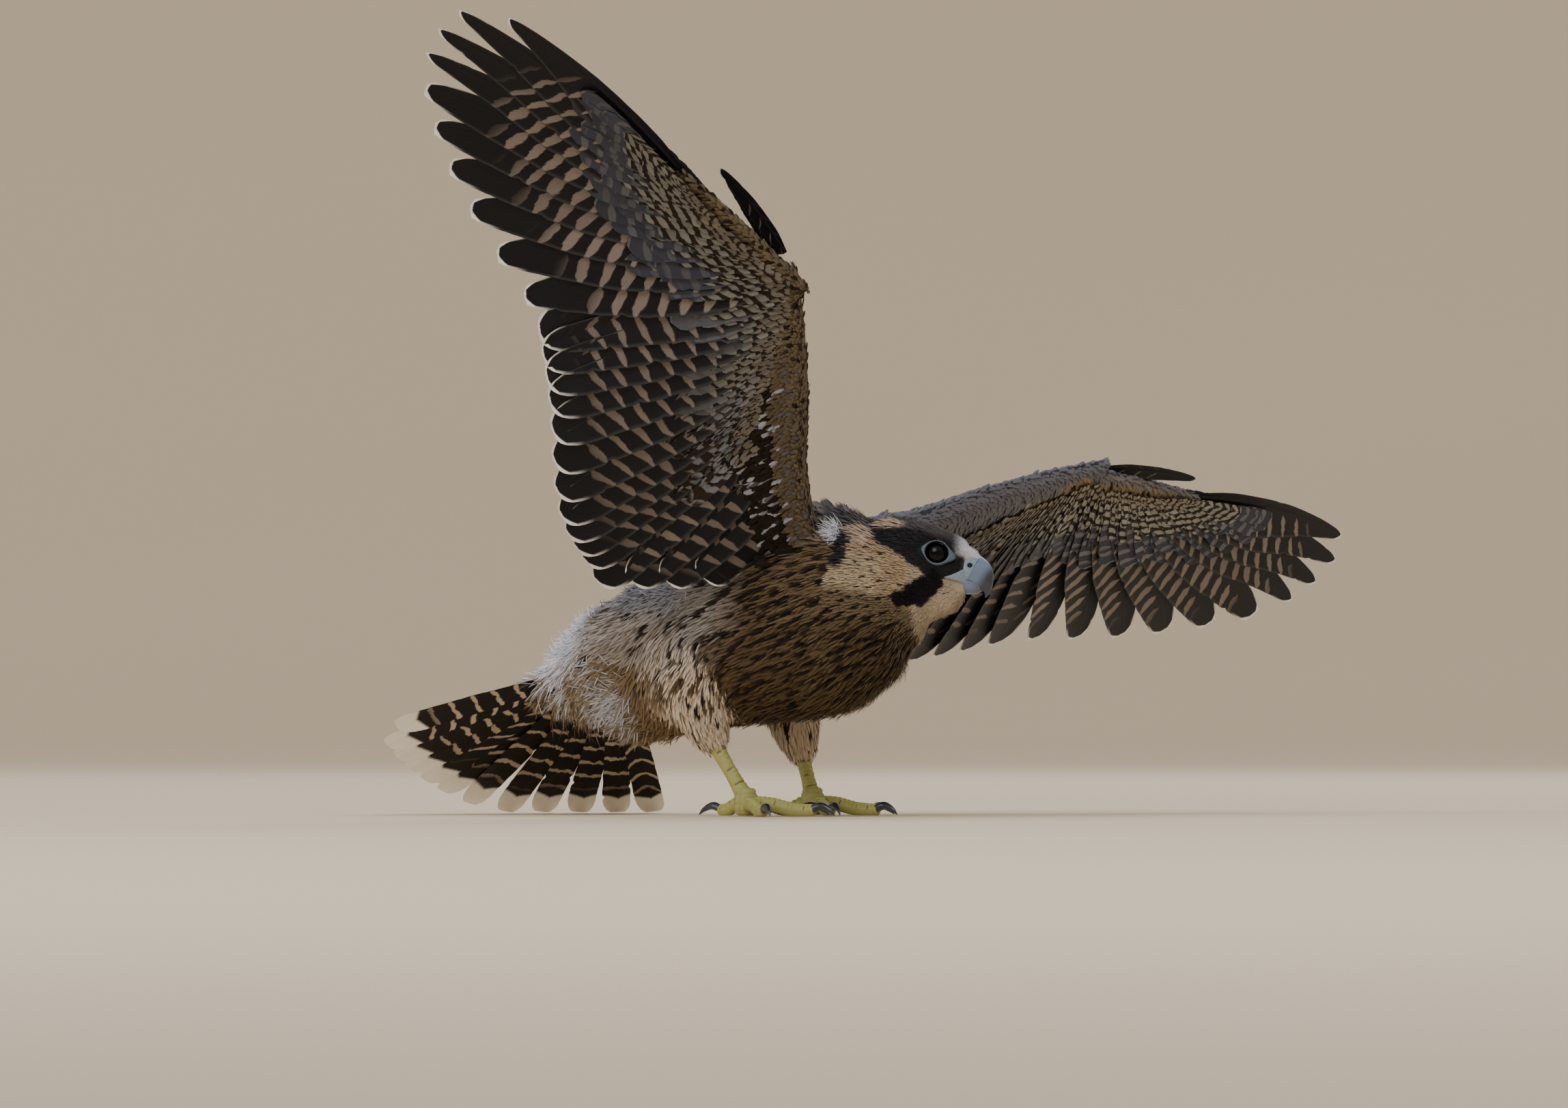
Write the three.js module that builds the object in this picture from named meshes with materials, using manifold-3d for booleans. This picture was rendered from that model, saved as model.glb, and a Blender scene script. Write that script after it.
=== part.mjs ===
// A young peregrine falcon at life size: it stands on both feet with its wings raised and its tail
// spread on the ground behind it. Millimetres, +X the way the body faces, +Y its left, +Z up, and the
// ground at z = 0. The origin is on the flat under the right foot.
import * as THREE from "three";
import { mergeVertices } from "three/addons/utils/BufferGeometryUtils.js";
import Module from "manifold-3d";

const wasm = await Module();
wasm.setup();

// Sizes shared by the whole bird
const JOINT_GAP = 0.3;
const FOOT_TO_ORIGIN = new THREE.Vector3(13, 11.5, 0);
const BODY_BANK = 18;

// Flight feathers
const PRIMARY_COUNT = 10;
const SECONDARY_COUNT = 12;
const TERTIAL_SHARES = [0.86, 0.72, 0.56];
const VANE_THICK = 0.55;
const SHINGLE_TILT = 6;
const PRIMARY_INNER_WEB = 21;
const PRIMARY_OUTER_WEB = 7;
const SECONDARY_INNER_WEB = 22;
const SECONDARY_OUTER_WEB = 10;

// Tail: twelve feathers in a fan, opened further on the far side
const TAIL_COUNT = 12;
const TAIL_LENGTH = 136;
const TAIL_FAR_FAN = 46;
const TAIL_NEAR_FAN = 32;
const TAIL_YAW = 10;
const TAIL_PITCH = 32;
const TAIL_ROLL = 24;
const TAIL_ROOT = new THREE.Vector3(-118, 14, 77.5);

const COLOURS = {
  down: 0xb9a98c,
  breast: 0xb08a5c,
  cap: 0x3a2c22,
  flight: 0x3b332d,
  tail: 0x2e2620,
  thigh: 0xc9a878,
  scale: 0xb9b04a,
  claw: 0x20242c,
  bill: 0x7f93a8,
  cere: 0x9fb0bd,
  eye: 0x0b0908,
  lid: 0x9fb4c4,
};

const vec = (x, y, z) => new THREE.Vector3(x, y, z);
const upTo = (count) => Array.from({ length: count }, (_, i) => i);
const mixed = (a, b) => (a + b) / 2;
const radians = (degrees) => (degrees * Math.PI) / 180;
const mix = (a, b, t) => a.clone().lerp(b, t);
const plus = (start, ...steps) => {
  const sum = start.clone();
  for (const [direction, distance] of steps) sum.addScaledVector(direction, distance);
  return sum;
};
const across = (a, b) => vec(0, 0, 0).crossVectors(a, b);
const squareTo = (v, axis) => plus(v, [axis, -v.dot(axis)]).normalize();
const turned = (v, axis, degrees) => v.clone().applyAxisAngle(axis, radians(degrees));

// The value at x of straight lines through [x, value] pairs.
function through(pairs, x) {
  const last = pairs[pairs.length - 1];
  if (x <= pairs[0][0]) return pairs[0][1];
  if (x >= last[0]) return last[1];
  const next = pairs.findIndex((pair) => pair[0] >= x);
  const [x0, y0] = pairs[next - 1];
  const [x1, y1] = pairs[next];
  return y0 + ((y1 - y0) * (x - x0)) / (x1 - x0);
}

// A closed skin over a row of rings with equally many points. Sides listed in flips take the other diagonal.
function skin(rings, flips = []) {
  const sides = rings[0].length;
  const points = rings.flat();
  const faces = [];
  for (let r = 0; r + 1 < rings.length; r++) {
    for (let i = 0; i < sides; i++) {
      const a = r * sides + i;
      const b = r * sides + ((i + 1) % sides);
      const c = b + sides;
      const d = a + sides;
      if (flips.includes(i)) faces.push([a, b, d], [b, c, d]);
      else faces.push([a, b, c], [a, c, d]);
    }
  }
  for (const [ring, start] of [
    [rings[0], 0],
    [rings[rings.length - 1], (rings.length - 1) * sides],
  ]) {
    if (sides === 4) {
      const [a, b, c, d] = upTo(4).map((i) => start + i);
      faces.push(...(start === 0 ? [[c, b, a], [d, c, a]] : [[a, b, c], [a, c, d]]));
      continue;
    }
    const middle = points.length;
    points.push(ring.reduce((sum, p) => sum.add(p), vec(0, 0, 0)).divideScalar(sides));
    for (let i = 0; i < sides; i++) {
      const a = start + i;
      const b = start + ((i + 1) % sides);
      faces.push(start === 0 ? [b, a, middle] : [a, b, middle]);
    }
  }
  return outward(points, faces);
}

// Turns the faces so that they point out.
function outward(points, faces) {
  const volume = faces.reduce((sum, [a, b, c]) => sum + points[a].dot(across(points[b], points[c])), 0);
  return { points, faces: volume < 0 ? faces.map(([a, b, c]) => [a, c, b]) : faces };
}

// The same skin moved out by a distance along its normals.
function grown({ points, faces }, distance) {
  const normals = points.map(() => vec(0, 0, 0));
  for (const [a, b, c] of faces) {
    const normal = across(points[b].clone().sub(points[a]), points[c].clone().sub(points[a]));
    for (const i of [a, b, c]) normals[i].add(normal);
  }
  return { points: points.map((p, i) => plus(p, [normals[i].normalize(), distance])), faces };
}

function solid({ points, faces }) {
  return new wasm.Manifold(
    new wasm.Mesh({
      numProp: 3,
      vertProperties: new Float32Array(points.flatMap((p) => [p.x, p.y, p.z])),
      triVerts: new Uint32Array(faces.flat()),
    }),
  );
}

// The largest closed surface of a solid: loose bits and sealed hollows are dropped.
function largest(body) {
  return body.decompose().reduce((best, piece) => (piece.volume() > best.volume() ? piece : best));
}

function joined(solids) {
  return largest(wasm.Manifold.union(solids));
}

// A ring around a centre: half sizes across, up and down, in the plane of the two directions.
function ovalRing(centre, sideways, upwards, wide, up, down, count) {
  const ring = [];
  for (let i = 0; i < count; i++) {
    const turn = (2 * Math.PI * i) / count;
    const height = Math.sin(turn);
    ring.push(plus(centre, [sideways, wide * Math.cos(turn)], [upwards, height * (height > 0 ? up : down)]));
  }
  return ring;
}

// Rings along a row of stations, smoothed between them. Each station is [x, y, z, wide, up, down].
function stationRings(stations, perStation, count, bank) {
  const path = new THREE.CatmullRomCurve3(stations.map(([x, y, z]) => vec(x, y, z)));
  const sizes = new THREE.CatmullRomCurve3(stations.map(([, , , wide, up, down]) => vec(wide, up, down)));
  const steps = (stations.length - 1) * perStation;
  const rings = [];
  for (let k = 0; k <= steps; k++) {
    const t = k / steps;
    const forward = path.getTangent(t).normalize();
    const level = squareTo(vec(0, 1, 0), forward);
    const sideways = turned(level, forward, -bank);
    const upwards = across(forward, sideways).normalize();
    const { x: wide, y: up, z: down } = sizes.getPoint(t);
    rings.push(ovalRing(path.getPoint(t), sideways, upwards, wide, up, down, count));
  }
  return rings;
}

const TOE_SIDES = 8;
const CLAW_SIDES = 6;

// Feathers

// The outline of a feather: share of the full width at each share of the length.
const BROAD_OUTLINE = [
  [0, 0.35],
  [0.2, 0.85],
  [0.5, 1],
  [0.8, 0.94],
  [0.94, 0.6],
  [1, 0.12],
];
const POINTED_OUTLINE = [
  [0, 0.35],
  [0.2, 0.85],
  [0.46, 1],
  [0.7, 0.76],
  [0.88, 0.42],
  [1, 0.06],
];

// A feather's vane: a thin curved plate from its root along its shaft.
// inward points to the side of its wide inner web, under to the side that faces the ground in flight.
function vane({ root, along, inward, under, length, inner, outer, outline, bow = 3, sag = 0, tilt, thick }) {
  const side0 = squareTo(inward, along);
  const under0 = squareTo(squareTo(under, along), side0);
  const side = plus(vec(0, 0, 0), [side0, Math.cos(radians(tilt))], [under0, Math.sin(radians(tilt))]);
  const flat = plus(vec(0, 0, 0), [under0, Math.cos(radians(tilt))], [side0, -Math.sin(radians(tilt))]);
  const half = (thick ?? VANE_THICK) / 2;
  const rings = outline.map(([t, share]) => {
    const arch = 4 * t * (1 - t);
    const centre = plus(root, [along, length * t], [side0, -bow * arch], [under0, -sag * arch]);
    const inside = plus(centre, [side, inner * share]);
    const outside = plus(centre, [side, -outer * Math.min(1, share * 1.1)]);
    return [
      plus(inside, [flat, half]),
      plus(outside, [flat, half]),
      plus(outside, [flat, -half]),
      plus(inside, [flat, -half]),
    ];
  });
  return skin(rings, [2]);
}

// Wings
// The joints lie where the photograph shows them; underArm and underHand face down from the open wing.
// spread holds the run from root to tip of some feathers: [place, x, y, z], counted from the outermost
// primary (0) through the first secondary (10) to the innermost one (21).
const WINGS = {
  right: {
    shoulder: vec(24.4, -8.0, 155.2),
    elbow: vec(18.4, -63.2, 204.0),
    wrist: vec(57.9, -85.4, 277.2),
    handEnd: vec(45.1, -152.4, 326.3),
    underArm: vec(0.67, -0.53, -0.52),
    underHand: vec(0.23, -0.6, -0.76),
    spread: [
      [0, -36.6, -137.7, 92.8],
      [3, -85.6, -141.1, 79.6],
      [6, -108.9, -113.4, 40.9],
      [9.5, -92.3, -90.8, -16.3],
      [13, -79.4, -86.9, -36.0],
      [17, -77.3, -66.5, -68.3],
      [21, -69.0, -34.6, -72.7],
    ],
    outermostShorter: 23,
    leadShare: 1,
    thumb: vec(3.9, -3.2, 15.2),
    alulaRun: vec(-20.5, -30, 43.2),
  },
  left: {
    shoulder: vec(16.4, 55.9, 151.4),
    elbow: vec(24.8, 129.3, 147.4),
    wrist: vec(69.3, 195.9, 178.8),
    handEnd: vec(83.4, 278.4, 171.2),
    underArm: vec(0.68, -0.12, -0.72),
    underHand: vec(0.64, -0.18, -0.74),
    spread: [
      [0, 8.2, 168.6, -20.4],
      [3, -11.5, 165.9, -56.8],
      [6, -50.5, 127.3, -76.4],
      [9.5, -84.8, 66.4, -84.1],
      [13, -89.6, 14.3, -85.7],
      [17, -87.8, -17.7, -80.3],
      [21, -83.2, -34.0, -73.4],
    ],
    outermostShorter: 14,
    leadShare: 1.6,
    thumb: vec(6, 10.4, 7.5),
    alulaRun: vec(20.8, 61.2, -5.5),
  },
};
const LAST_PLACE = PRIMARY_COUNT + SECONDARY_COUNT - 1;
const SEAM_PLACE = PRIMARY_COUNT - 0.5;
const BACKWARD = vec(-1, 0, -0.3);
const HAND_CORE = { lead: 10.5, trail: 12, thick: 7.5 };
const ARM_CORE_LEAD = [
  [-0.22, 12],
  [-0.08, 9],
  [0.05, 3],
  [0.25, 3],
  [0.5, 8.5],
  [0.8, 10.5],
  [1, 10],
];
const ARM_CORE_TRAIL = [
  [-0.22, 30],
  [0, 32],
  [0.5, 12],
  [1, 12],
];
const ARM_CORE_THICK = [
  [-0.22, 30],
  [-0.05, 26],
  [0.2, 15],
  [0.5, 11],
  [1, 7.5],
];

// The directions that a wing's flesh is laid out by.
function wingFrame(wing) {
  const { shoulder, elbow, wrist, handEnd } = wing;
  const arm = wrist.clone().sub(shoulder).normalize();
  const hand = handEnd.clone().sub(wrist).normalize();
  const underArm = squareTo(wing.underArm, arm);
  const underHand = squareTo(wing.underHand, hand);
  const back = (direction, under) => {
    const trail = across(direction, under).normalize();
    return trail.dot(BACKWARD) < 0 ? trail.negate() : trail;
  };
  return {
    ...wing,
    arm,
    hand,
    underArm,
    underHand,
    armTrail: back(arm, underArm),
    handTrail: back(hand, underHand),
    spreadCurve: new THREE.CatmullRomCurve3(wing.spread.map(([, x, y, z]) => vec(x, y, z))),
  };
}

// The run from root to tip at a place along the wing.
function featherRun(f, place) {
  const keys = f.spread.map(([at]) => at);
  const next = Math.max(1, keys.findIndex((at) => at >= Math.min(place, LAST_PLACE)));
  const share = (Math.min(place, LAST_PLACE) - keys[next - 1]) / (keys[next] - keys[next - 1]);
  return f.spreadCurve.getPoint((next - 1 + share) / (keys.length - 1));
}

// Where a feather is rooted: along the hand, then along the forearm, then towards the shoulder.
function featherRoot(f, place) {
  if (place < PRIMARY_COUNT) return mix(f.handEnd, f.wrist, (0.94 * place) / (PRIMARY_COUNT - 1));
  const inner = (place - PRIMARY_COUNT + 0.7) / (SECONDARY_COUNT - 1);
  if (inner <= 1) return mix(f.wrist, f.elbow, inner);
  return plus(mix(f.elbow, f.shoulder, (inner - 1) * 2.2), [f.armTrail, 5]);
}

// The direction along the row of feathers, towards the body, at the middle of a feather.
function rowDirection(f, place) {
  const middle = (at) => plus(featherRoot(f, at), [featherRun(f, at), 0.5]);
  const from = Math.max(0, place - 1);
  const to = Math.min(LAST_PLACE, place + 1);
  return middle(Math.max(to, from + 0.5)).sub(middle(from)).normalize();
}

function flightFeather(f, place, share = 1) {
  const run = featherRun(f, place);
  const along = run.clone().normalize();
  const inward = squareTo(rowDirection(f, Math.min(place, LAST_PLACE)), along);
  const under = across(along, inward);
  if (under.dot(place < PRIMARY_COUNT ? f.underHand : f.underArm) < 0) under.negate();
  const isPrimary = place < PRIMARY_COUNT;
  const outward = Math.max(0, 6 - place);
  return vane({
    root: featherRoot(f, place),
    along,
    inward,
    under,
    length: (run.length() - (place === 0 ? f.outermostShorter : 0)) * share,
    inner: isPrimary ? PRIMARY_INNER_WEB - 0.6 * Math.max(0, outward - 2) : SECONDARY_INNER_WEB,
    outer: isPrimary ? PRIMARY_OUTER_WEB - 0.45 * outward : SECONDARY_OUTER_WEB,
    outline: place < 4 ? POINTED_OUTLINE : BROAD_OUTLINE,
    bow: isPrimary ? 4 + 0.5 * Math.max(0, 4 - place) : 4,
    tilt: SHINGLE_TILT,
  });
}

// Coverts: tiers of shorter vanes over the roots of the flight feathers, on both faces of the wing.
const COVERT_TIERS = [
  { share: 0.44, forward: 2, lift: 3, inner: 10, outer: 8, every: 2, first: 0 },
  { share: 0.22, forward: 6, lift: 4.4, inner: 10, outer: 8, every: 2, first: 1 },
];
const COVERT_THICK = 0.5;
const COVERT_OUTLINE = [
  [0, 0.7],
  [0.8, 0.9],
  [1, 0.25],
];

function covert(f, place, tier, face) {
  const run = featherRun(f, place);
  const along = run.clone().normalize();
  const inward = squareTo(rowDirection(f, place), along);
  const under = across(along, inward);
  if (under.dot(place < PRIMARY_COUNT ? f.underHand : f.underArm) < 0) under.negate();
  const lead = place < PRIMARY_COUNT ? f.handTrail : f.armTrail;
  const outward = Math.max(0, 5 - place);
  return vane({
    root: plus(featherRoot(f, place), [lead, -tier.forward], [under, face * tier.lift]),
    along,
    inward,
    under,
    length: run.length() * tier.share + tier.forward,
    inner: tier.inner - 0.8 * outward,
    outer: tier.outer - 0.7 * outward,
    outline: COVERT_OUTLINE,
    bow: 1,
    tilt: SHINGLE_TILT,
    thick: COVERT_THICK,
  });
}

function coverts(f, from, to) {
  const made = [];
  for (const tier of COVERT_TIERS)
    for (const face of [1, -1])
      for (let place = from + tier.first; place <= to; place += tier.every)
        made.push(covert(f, place, tier, face));
  return made;
}

// A ring of the wing's flesh between its leading and trailing edge.
const FLESH_SECTION = [
  [0, 0],
  [0.12, 0.42],
  [0.4, 0.5],
  [0.75, 0.32],
  [1, 0.06],
  [1, -0.06],
  [0.75, -0.32],
  [0.4, -0.5],
  [0.12, -0.42],
];
function fleshRing(lead, trail, under, thick) {
  return FLESH_SECTION.map(([share, height]) => plus(mix(lead, trail, share), [under, -height * thick]));
}

function armBone(f, t) {
  if (t < 0) return plus(f.shoulder, [f.wrist.clone().sub(f.shoulder), t]);
  return t < 0.5 ? mix(f.shoulder, f.elbow, t * 2) : mix(f.elbow, f.wrist, t * 2 - 1);
}

function armFlesh(f) {
  const rings = [];
  for (const t of [-0.22, -0.08, 0.06, 0.22, 0.36, 0.5, 0.65, 0.82, 1.04]) {
    const bend = Math.max(0, (t - 0.6) / 0.8);
    const under = mix(f.underArm, f.underHand, bend).normalize();
    const trailing = mix(f.armTrail, f.handTrail, bend).normalize();
    const leadWidth = through(ARM_CORE_LEAD, t) * (t > 0.1 ? f.leadShare : 1);
    const lead = plus(f.shoulder, [f.wrist.clone().sub(f.shoulder), t], [trailing, -leadWidth]);
    const bone = armBone(f, t);
    const trail = plus(bone, [trailing, through(ARM_CORE_TRAIL, t)]);
    rings.push(fleshRing(lead, trail, under, through(ARM_CORE_THICK, t)));
  }
  return skin(rings);
}

function handFlesh(f) {
  const rings = [];
  for (const [t, size] of [
    [-0.12, 1],
    [0, 1],
    [0.3, 0.95],
    [0.6, 0.8],
    [0.9, 0.62],
    [1.12, 0.35],
  ]) {
    const bend = Math.min(1, 0.5 + 0.8 * Math.max(0, t));
    const under = mix(f.underArm, f.underHand, bend).normalize();
    const trailing = mix(f.armTrail, f.handTrail, bend).normalize();
    const bone = plus(f.wrist, [f.handEnd.clone().sub(f.wrist), t]);
    const lead = plus(bone, [trailing, -HAND_CORE.lead * size]);
    const trail = plus(bone, [trailing, HAND_CORE.trail * size]);
    rings.push(fleshRing(lead, trail, under, HAND_CORE.thick * size));
  }
  return skin(rings);
}

// The arm with its secondaries and tertials, the hand with its primaries, and the alula.
function wingParts(wing) {
  const f = wingFrame(wing);
  const seamRun = featherRun(f, SEAM_PLACE).normalize();
  const toArm = squareTo(rowDirection(f, SEAM_PLACE), seamRun);
  const seam = -toArm.dot(mix(featherRoot(f, PRIMARY_COUNT - 1), featherRoot(f, PRIMARY_COUNT), 0.5));
  const armSide = [toArm.x, toArm.y, toArm.z];
  const handSide = armSide.map((value) => -value);
  const primaries = upTo(PRIMARY_COUNT).map((i) => flightFeather(f, i));
  const secondaries = upTo(SECONDARY_COUNT).map((i) => flightFeather(f, PRIMARY_COUNT + i));
  const tertials = TERTIAL_SHARES.map((share, i) => flightFeather(f, LAST_PLACE + 1 + i, share));
  const armCoverts = coverts(f, PRIMARY_COUNT, LAST_PLACE);
  const handCoverts = coverts(f, 0, PRIMARY_COUNT - 1);
  const armShape = joined([armFlesh(f), ...secondaries, ...tertials, ...armCoverts].map(solid));
  const handShape = joined([handFlesh(f), ...primaries, ...handCoverts].map(solid));
  const alula = alulaShapes(f);
  const besideAlula = wasm.Manifold.union(alula.map((piece) => solid(grown(piece, JOINT_GAP))));
  const handFlanks = solid(grown(handFlesh(f), JOINT_GAP));
  return {
    arm: armShape.trimByPlane(armSide, -seam + JOINT_GAP / 2),
    hand: handShape.subtract(besideAlula.subtract(handFlanks)).trimByPlane(handSide, seam + JOINT_GAP / 2),
    alula: joined(alula.map(solid)).subtract(handFlanks),
  };
}

// The small feathers on the thumb, which lie along the front of the hand.
const ALULA_SHARES = [1, 0.72];
const ALULA_WEB = { inner: 7, outer: 4 };
const ALULA_STEP = { back: 2.2, over: 1 };
// The thumb itself: [distance along it, share of its full width].
const THUMB_PROFILE = [
  [-3, 0.5],
  [4, 1],
  [12, 0.9],
  [20, 0.3],
];
const THUMB_HALF = { wide: 5, thick: 2.6 };
function alulaShapes(f) {
  const along = f.alulaRun.clone().normalize();
  const root = plus(f.wrist, [f.thumb, 1]);
  const trailing = squareTo(f.handTrail, along);
  const vanes = ALULA_SHARES.map((share, i) =>
    vane({
      root: plus(root, [trailing, ALULA_STEP.back * i], [f.underHand, -ALULA_STEP.over * i]),
      along,
      inward: f.handTrail,
      under: f.underHand,
      length: f.alulaRun.length() * share,
      inner: ALULA_WEB.inner,
      outer: ALULA_WEB.outer,
      outline: BROAD_OUTLINE,
      bow: 2,
      tilt: 3,
    }),
  );
  const thumb = THUMB_PROFILE.map(([distance, size]) => {
    const centre = plus(root, [along, distance], [trailing, 2], [f.underHand, -ALULA_STEP.over]);
    const { wide, thick } = THUMB_HALF;
    return ovalRing(centre, trailing, f.underHand, wide * size, thick * size, thick * size, CLAW_SIDES);
  });
  return [...vanes, skin(thumb)];
}

// Trunk: tail coverts, rump, torso and neck in one row of stations, [x, y, z, wide, up, down].
const TRUNK = [
  [-149, 19.6, 61, 28, 3, 5],
  [-134, 17, 69, 28, 11, 20],
  [-118, 14, 77.5, 30, 21, 36],
  [-100, 12, 85, 35, 28, 48],
  [-76, 12, 91, 40, 34, 50],
  [-44, 12, 98, 45, 43, 52],
  [-10, 12, 104, 48, 53, 56],
  [22, 13, 110, 46, 57, 59],
  [46, 18, 117, 38, 48, 52],
  [64, 26, 121, 26, 26, 40],
  [79, 33, 120, 14, 6, 26],
  [91, 38, 113, 7, 4, 7],
];
const TRUNK_SIDES = 18;
const TRUNK_STEPS = 2;
const COVERTS_END = 4;
const RUMP_END = 8;
const TORSO_END = 15;

// A stretch of the trunk between two rings, with a gap to the stretch behind it.
function trunkStretch(rings, from, to) {
  const part = rings.slice(from, to + 1);
  if (from === 0) return part;
  const step = JOINT_GAP / 12;
  part[0] = part[0].map((p, i) => mix(p, part[1][i], step));
  return part;
}

// Head: stations along its own forward axis, [forward, 0, height, wide, up, down].
const HEAD_CENTRE = vec(60.3, 26.1, 134.6);
const HEAD_YAW = 25;
const HEAD_PITCH = -12;
const HEAD_ROLL = 14;
const HEAD_STATIONS = [
  [-24, 0, 1, 9, 10, 10],
  [-17, 0, 1, 17.5, 17.5, 17],
  [-6, 0, 1, 20.5, 21.5, 20],
  [6, 0, 1, 20.2, 21.6, 21.5],
  [17, 0, 0.5, 17.6, 20.6, 21.5],
  [26, 0, 0, 13.6, 19.2, 22],
  [33, 0, -0.5, 9.6, 16.4, 17.5],
  [36.2, 0, 0, 5.6, 11.4, 11],
];
const HEAD_SIDES = 16;
const headForward = vec(
  Math.cos(radians(HEAD_YAW)) * Math.cos(radians(HEAD_PITCH)),
  Math.sin(radians(HEAD_YAW)) * Math.cos(radians(HEAD_PITCH)),
  Math.sin(radians(HEAD_PITCH)),
);
const headLeft = turned(squareTo(across(vec(0, 0, 1), headForward), headForward), headForward, -HEAD_ROLL);
const headUp = across(headForward, headLeft).normalize();
const onHead = (x, y, z) => plus(HEAD_CENTRE, [headForward, x], [headLeft, y], [headUp, z]);
const placed = ({ points, faces }) => ({ points: points.map((p) => onHead(p.x, p.y, p.z)), faces });

// How far out the side of the head lies at a place on it.
function headSide(x, z) {
  const at = (column) => through(HEAD_STATIONS.map((station) => [station[0], station[column]]), x);
  const height = z - at(2);
  const reach = height > 0 ? at(4) : at(5);
  return at(3) * Math.sqrt(Math.max(0.05, 1 - (height / reach) ** 2));
}

// The eye: a ball a little flatter than round, in an oval socket with the lids round its front.
const EYE = { forward: 19.2, height: 4.2, inset: 5.1, radius: 6.3, flat: 0.85 };
const EYE_SIDES = 10;
const EYE_RINGS = 6;
const SOCKET = { long: 8.6, tall: 6.9, deep: 5.9, slope: 0.2 };
const LID_SIDES = 14;
const LID_OPENING = { long: 6.1, tall: 5.5 };
const LID_RISE = 0.9;
const LID_DEPTH = 3;

// A place beside the eye: x and z from its middle, out from the side of the head.
function besideEye(side, x, z, out) {
  const surface = headSide(EYE.forward, EYE.height);
  return vec(EYE.forward + x, side * (surface + out - SOCKET.slope * x), EYE.height + z);
}

function eyeBall(side) {
  const ball = new THREE.SphereGeometry(EYE.radius, EYE_SIDES, EYE_RINGS);
  for (const name of ["normal", "uv"]) ball.deleteAttribute(name);
  const merged = mergeVertices(ball, 1e-4);
  const place = merged.attributes.position;
  const points = upTo(place.count).map((i) =>
    besideEye(side, place.getX(i), place.getZ(i), place.getY(i) * EYE.flat - EYE.inset),
  );
  const index = merged.index.array;
  return placed(outward(points, upTo(index.length / 3).map((i) => [...index.slice(i * 3, i * 3 + 3)])));
}

function eyeOval(side, long, tall, out) {
  return upTo(LID_SIDES).map((i) => {
    const turn = (2 * Math.PI * i) / LID_SIDES;
    return besideEye(side, long * Math.cos(turn), tall * Math.sin(turn), out);
  });
}

function eyeSocket(side) {
  const bottom = eyeOval(side, SOCKET.long, SOCKET.tall, -EYE.inset - SOCKET.deep);
  return placed(skin([bottom, eyeOval(side, SOCKET.long, SOCKET.tall, 6)]));
}

// The lids: one bare ring of skin that fills the socket round the eye.
function lidRing(side) {
  const long = SOCKET.long - JOINT_GAP;
  const tall = SOCKET.tall - JOINT_GAP;
  const wide = EYE.radius + JOINT_GAP;
  const rings = [
    eyeOval(side, long, tall, -LID_DEPTH),
    eyeOval(side, long, tall, 0.2),
    eyeOval(side, mixed(long, LID_OPENING.long), mixed(tall, LID_OPENING.tall), LID_RISE),
    eyeOval(side, LID_OPENING.long, LID_OPENING.tall, LID_RISE * 0.7),
    eyeOval(side, wide, wide, -LID_DEPTH),
  ];
  const points = rings.flat();
  const faces = [];
  for (let r = 0; r < rings.length; r++) {
    for (let i = 0; i < LID_SIDES; i++) {
      const a = r * LID_SIDES + i;
      const b = r * LID_SIDES + ((i + 1) % LID_SIDES);
      const c = ((r + 1) % rings.length) * LID_SIDES + ((i + 1) % LID_SIDES);
      const d = ((r + 1) % rings.length) * LID_SIDES + i;
      faces.push([a, b, c], [a, c, d]);
    }
  }
  return placed(outward(points, faces));
}

// Bill: rings along a curved middle line, [forward, height, wide, up, down, slope in degrees].
const CERE_STATIONS = [
  [33.0, 1.6, 7.4, 11.4, 6.4, 2],
  [36.0, 1.9, 7.0, 10.4, 6.6, -6],
  [38.6, 2.1, 6.4, 9.0, 6.8, -12],
];
const BILL_STATIONS = [
  [39.0, 2.1, 6.3, 8.9, 6.8, -13],
  [42.2, 1.4, 5.5, 7.6, 6.6, -24],
  [45.0, -0.4, 4.5, 5.9, 6.4, -40],
  [46.6, -3.0, 3.4, 3.9, 4.6, -56],
  [47.8, -5.8, 2.0, 2.3, 2.4, -72],
  [48.1, -8.6, 1.0, 1.1, 1.0, -82],
  [47.9, -10.2, 0.35, 0.4, 0.4, -88],
];
const LOWER_BILL_STATIONS = [
  [30.0, -6.6, 6.6, 1.4, 3.6, -10],
  [36.0, -6.9, 5.8, 1.6, 3.2, -8],
  [41.0, -6.6, 4.4, 1.7, 2.6, 2],
  [44.0, -6.2, 2.6, 1.2, 1.8, 10],
];
const BILL_SECTION = [
  [0, 1],
  [0.45, 0.86],
  [0.85, 0.4],
  [1, -0.2],
  [0.98, -0.8],
  [0.84, -1],
  [0, -0.82],
];
const NOSTRIL = { forward: 36.6, height: 3.6, radius: 1.3, depth: 2.4 };
const NOSTRIL_SIDES = 8;
const MOUTH = { from: 20, to: 34, height: -5.2, slope: 0.02, open: 0.45, depth: 1.6 };

function billShape(stations) {
  const mirrored = BILL_SECTION.slice(1, -1).map(([out, height]) => [-out, height]).reverse();
  const section = [...BILL_SECTION, ...mirrored];
  const rings = stations.map(([forward, height, wide, up, down, slope]) => {
    const upwards = vec(-Math.sin(radians(slope)), 0, Math.cos(radians(slope)));
    const centre = vec(forward, 0, height);
    return section.map(([out, share]) =>
      plus(centre, [vec(0, 1, 0), out * wide], [upwards, share * (share > 0 ? up : down)]),
    );
  });
  return placed(skin(rings));
}

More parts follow.
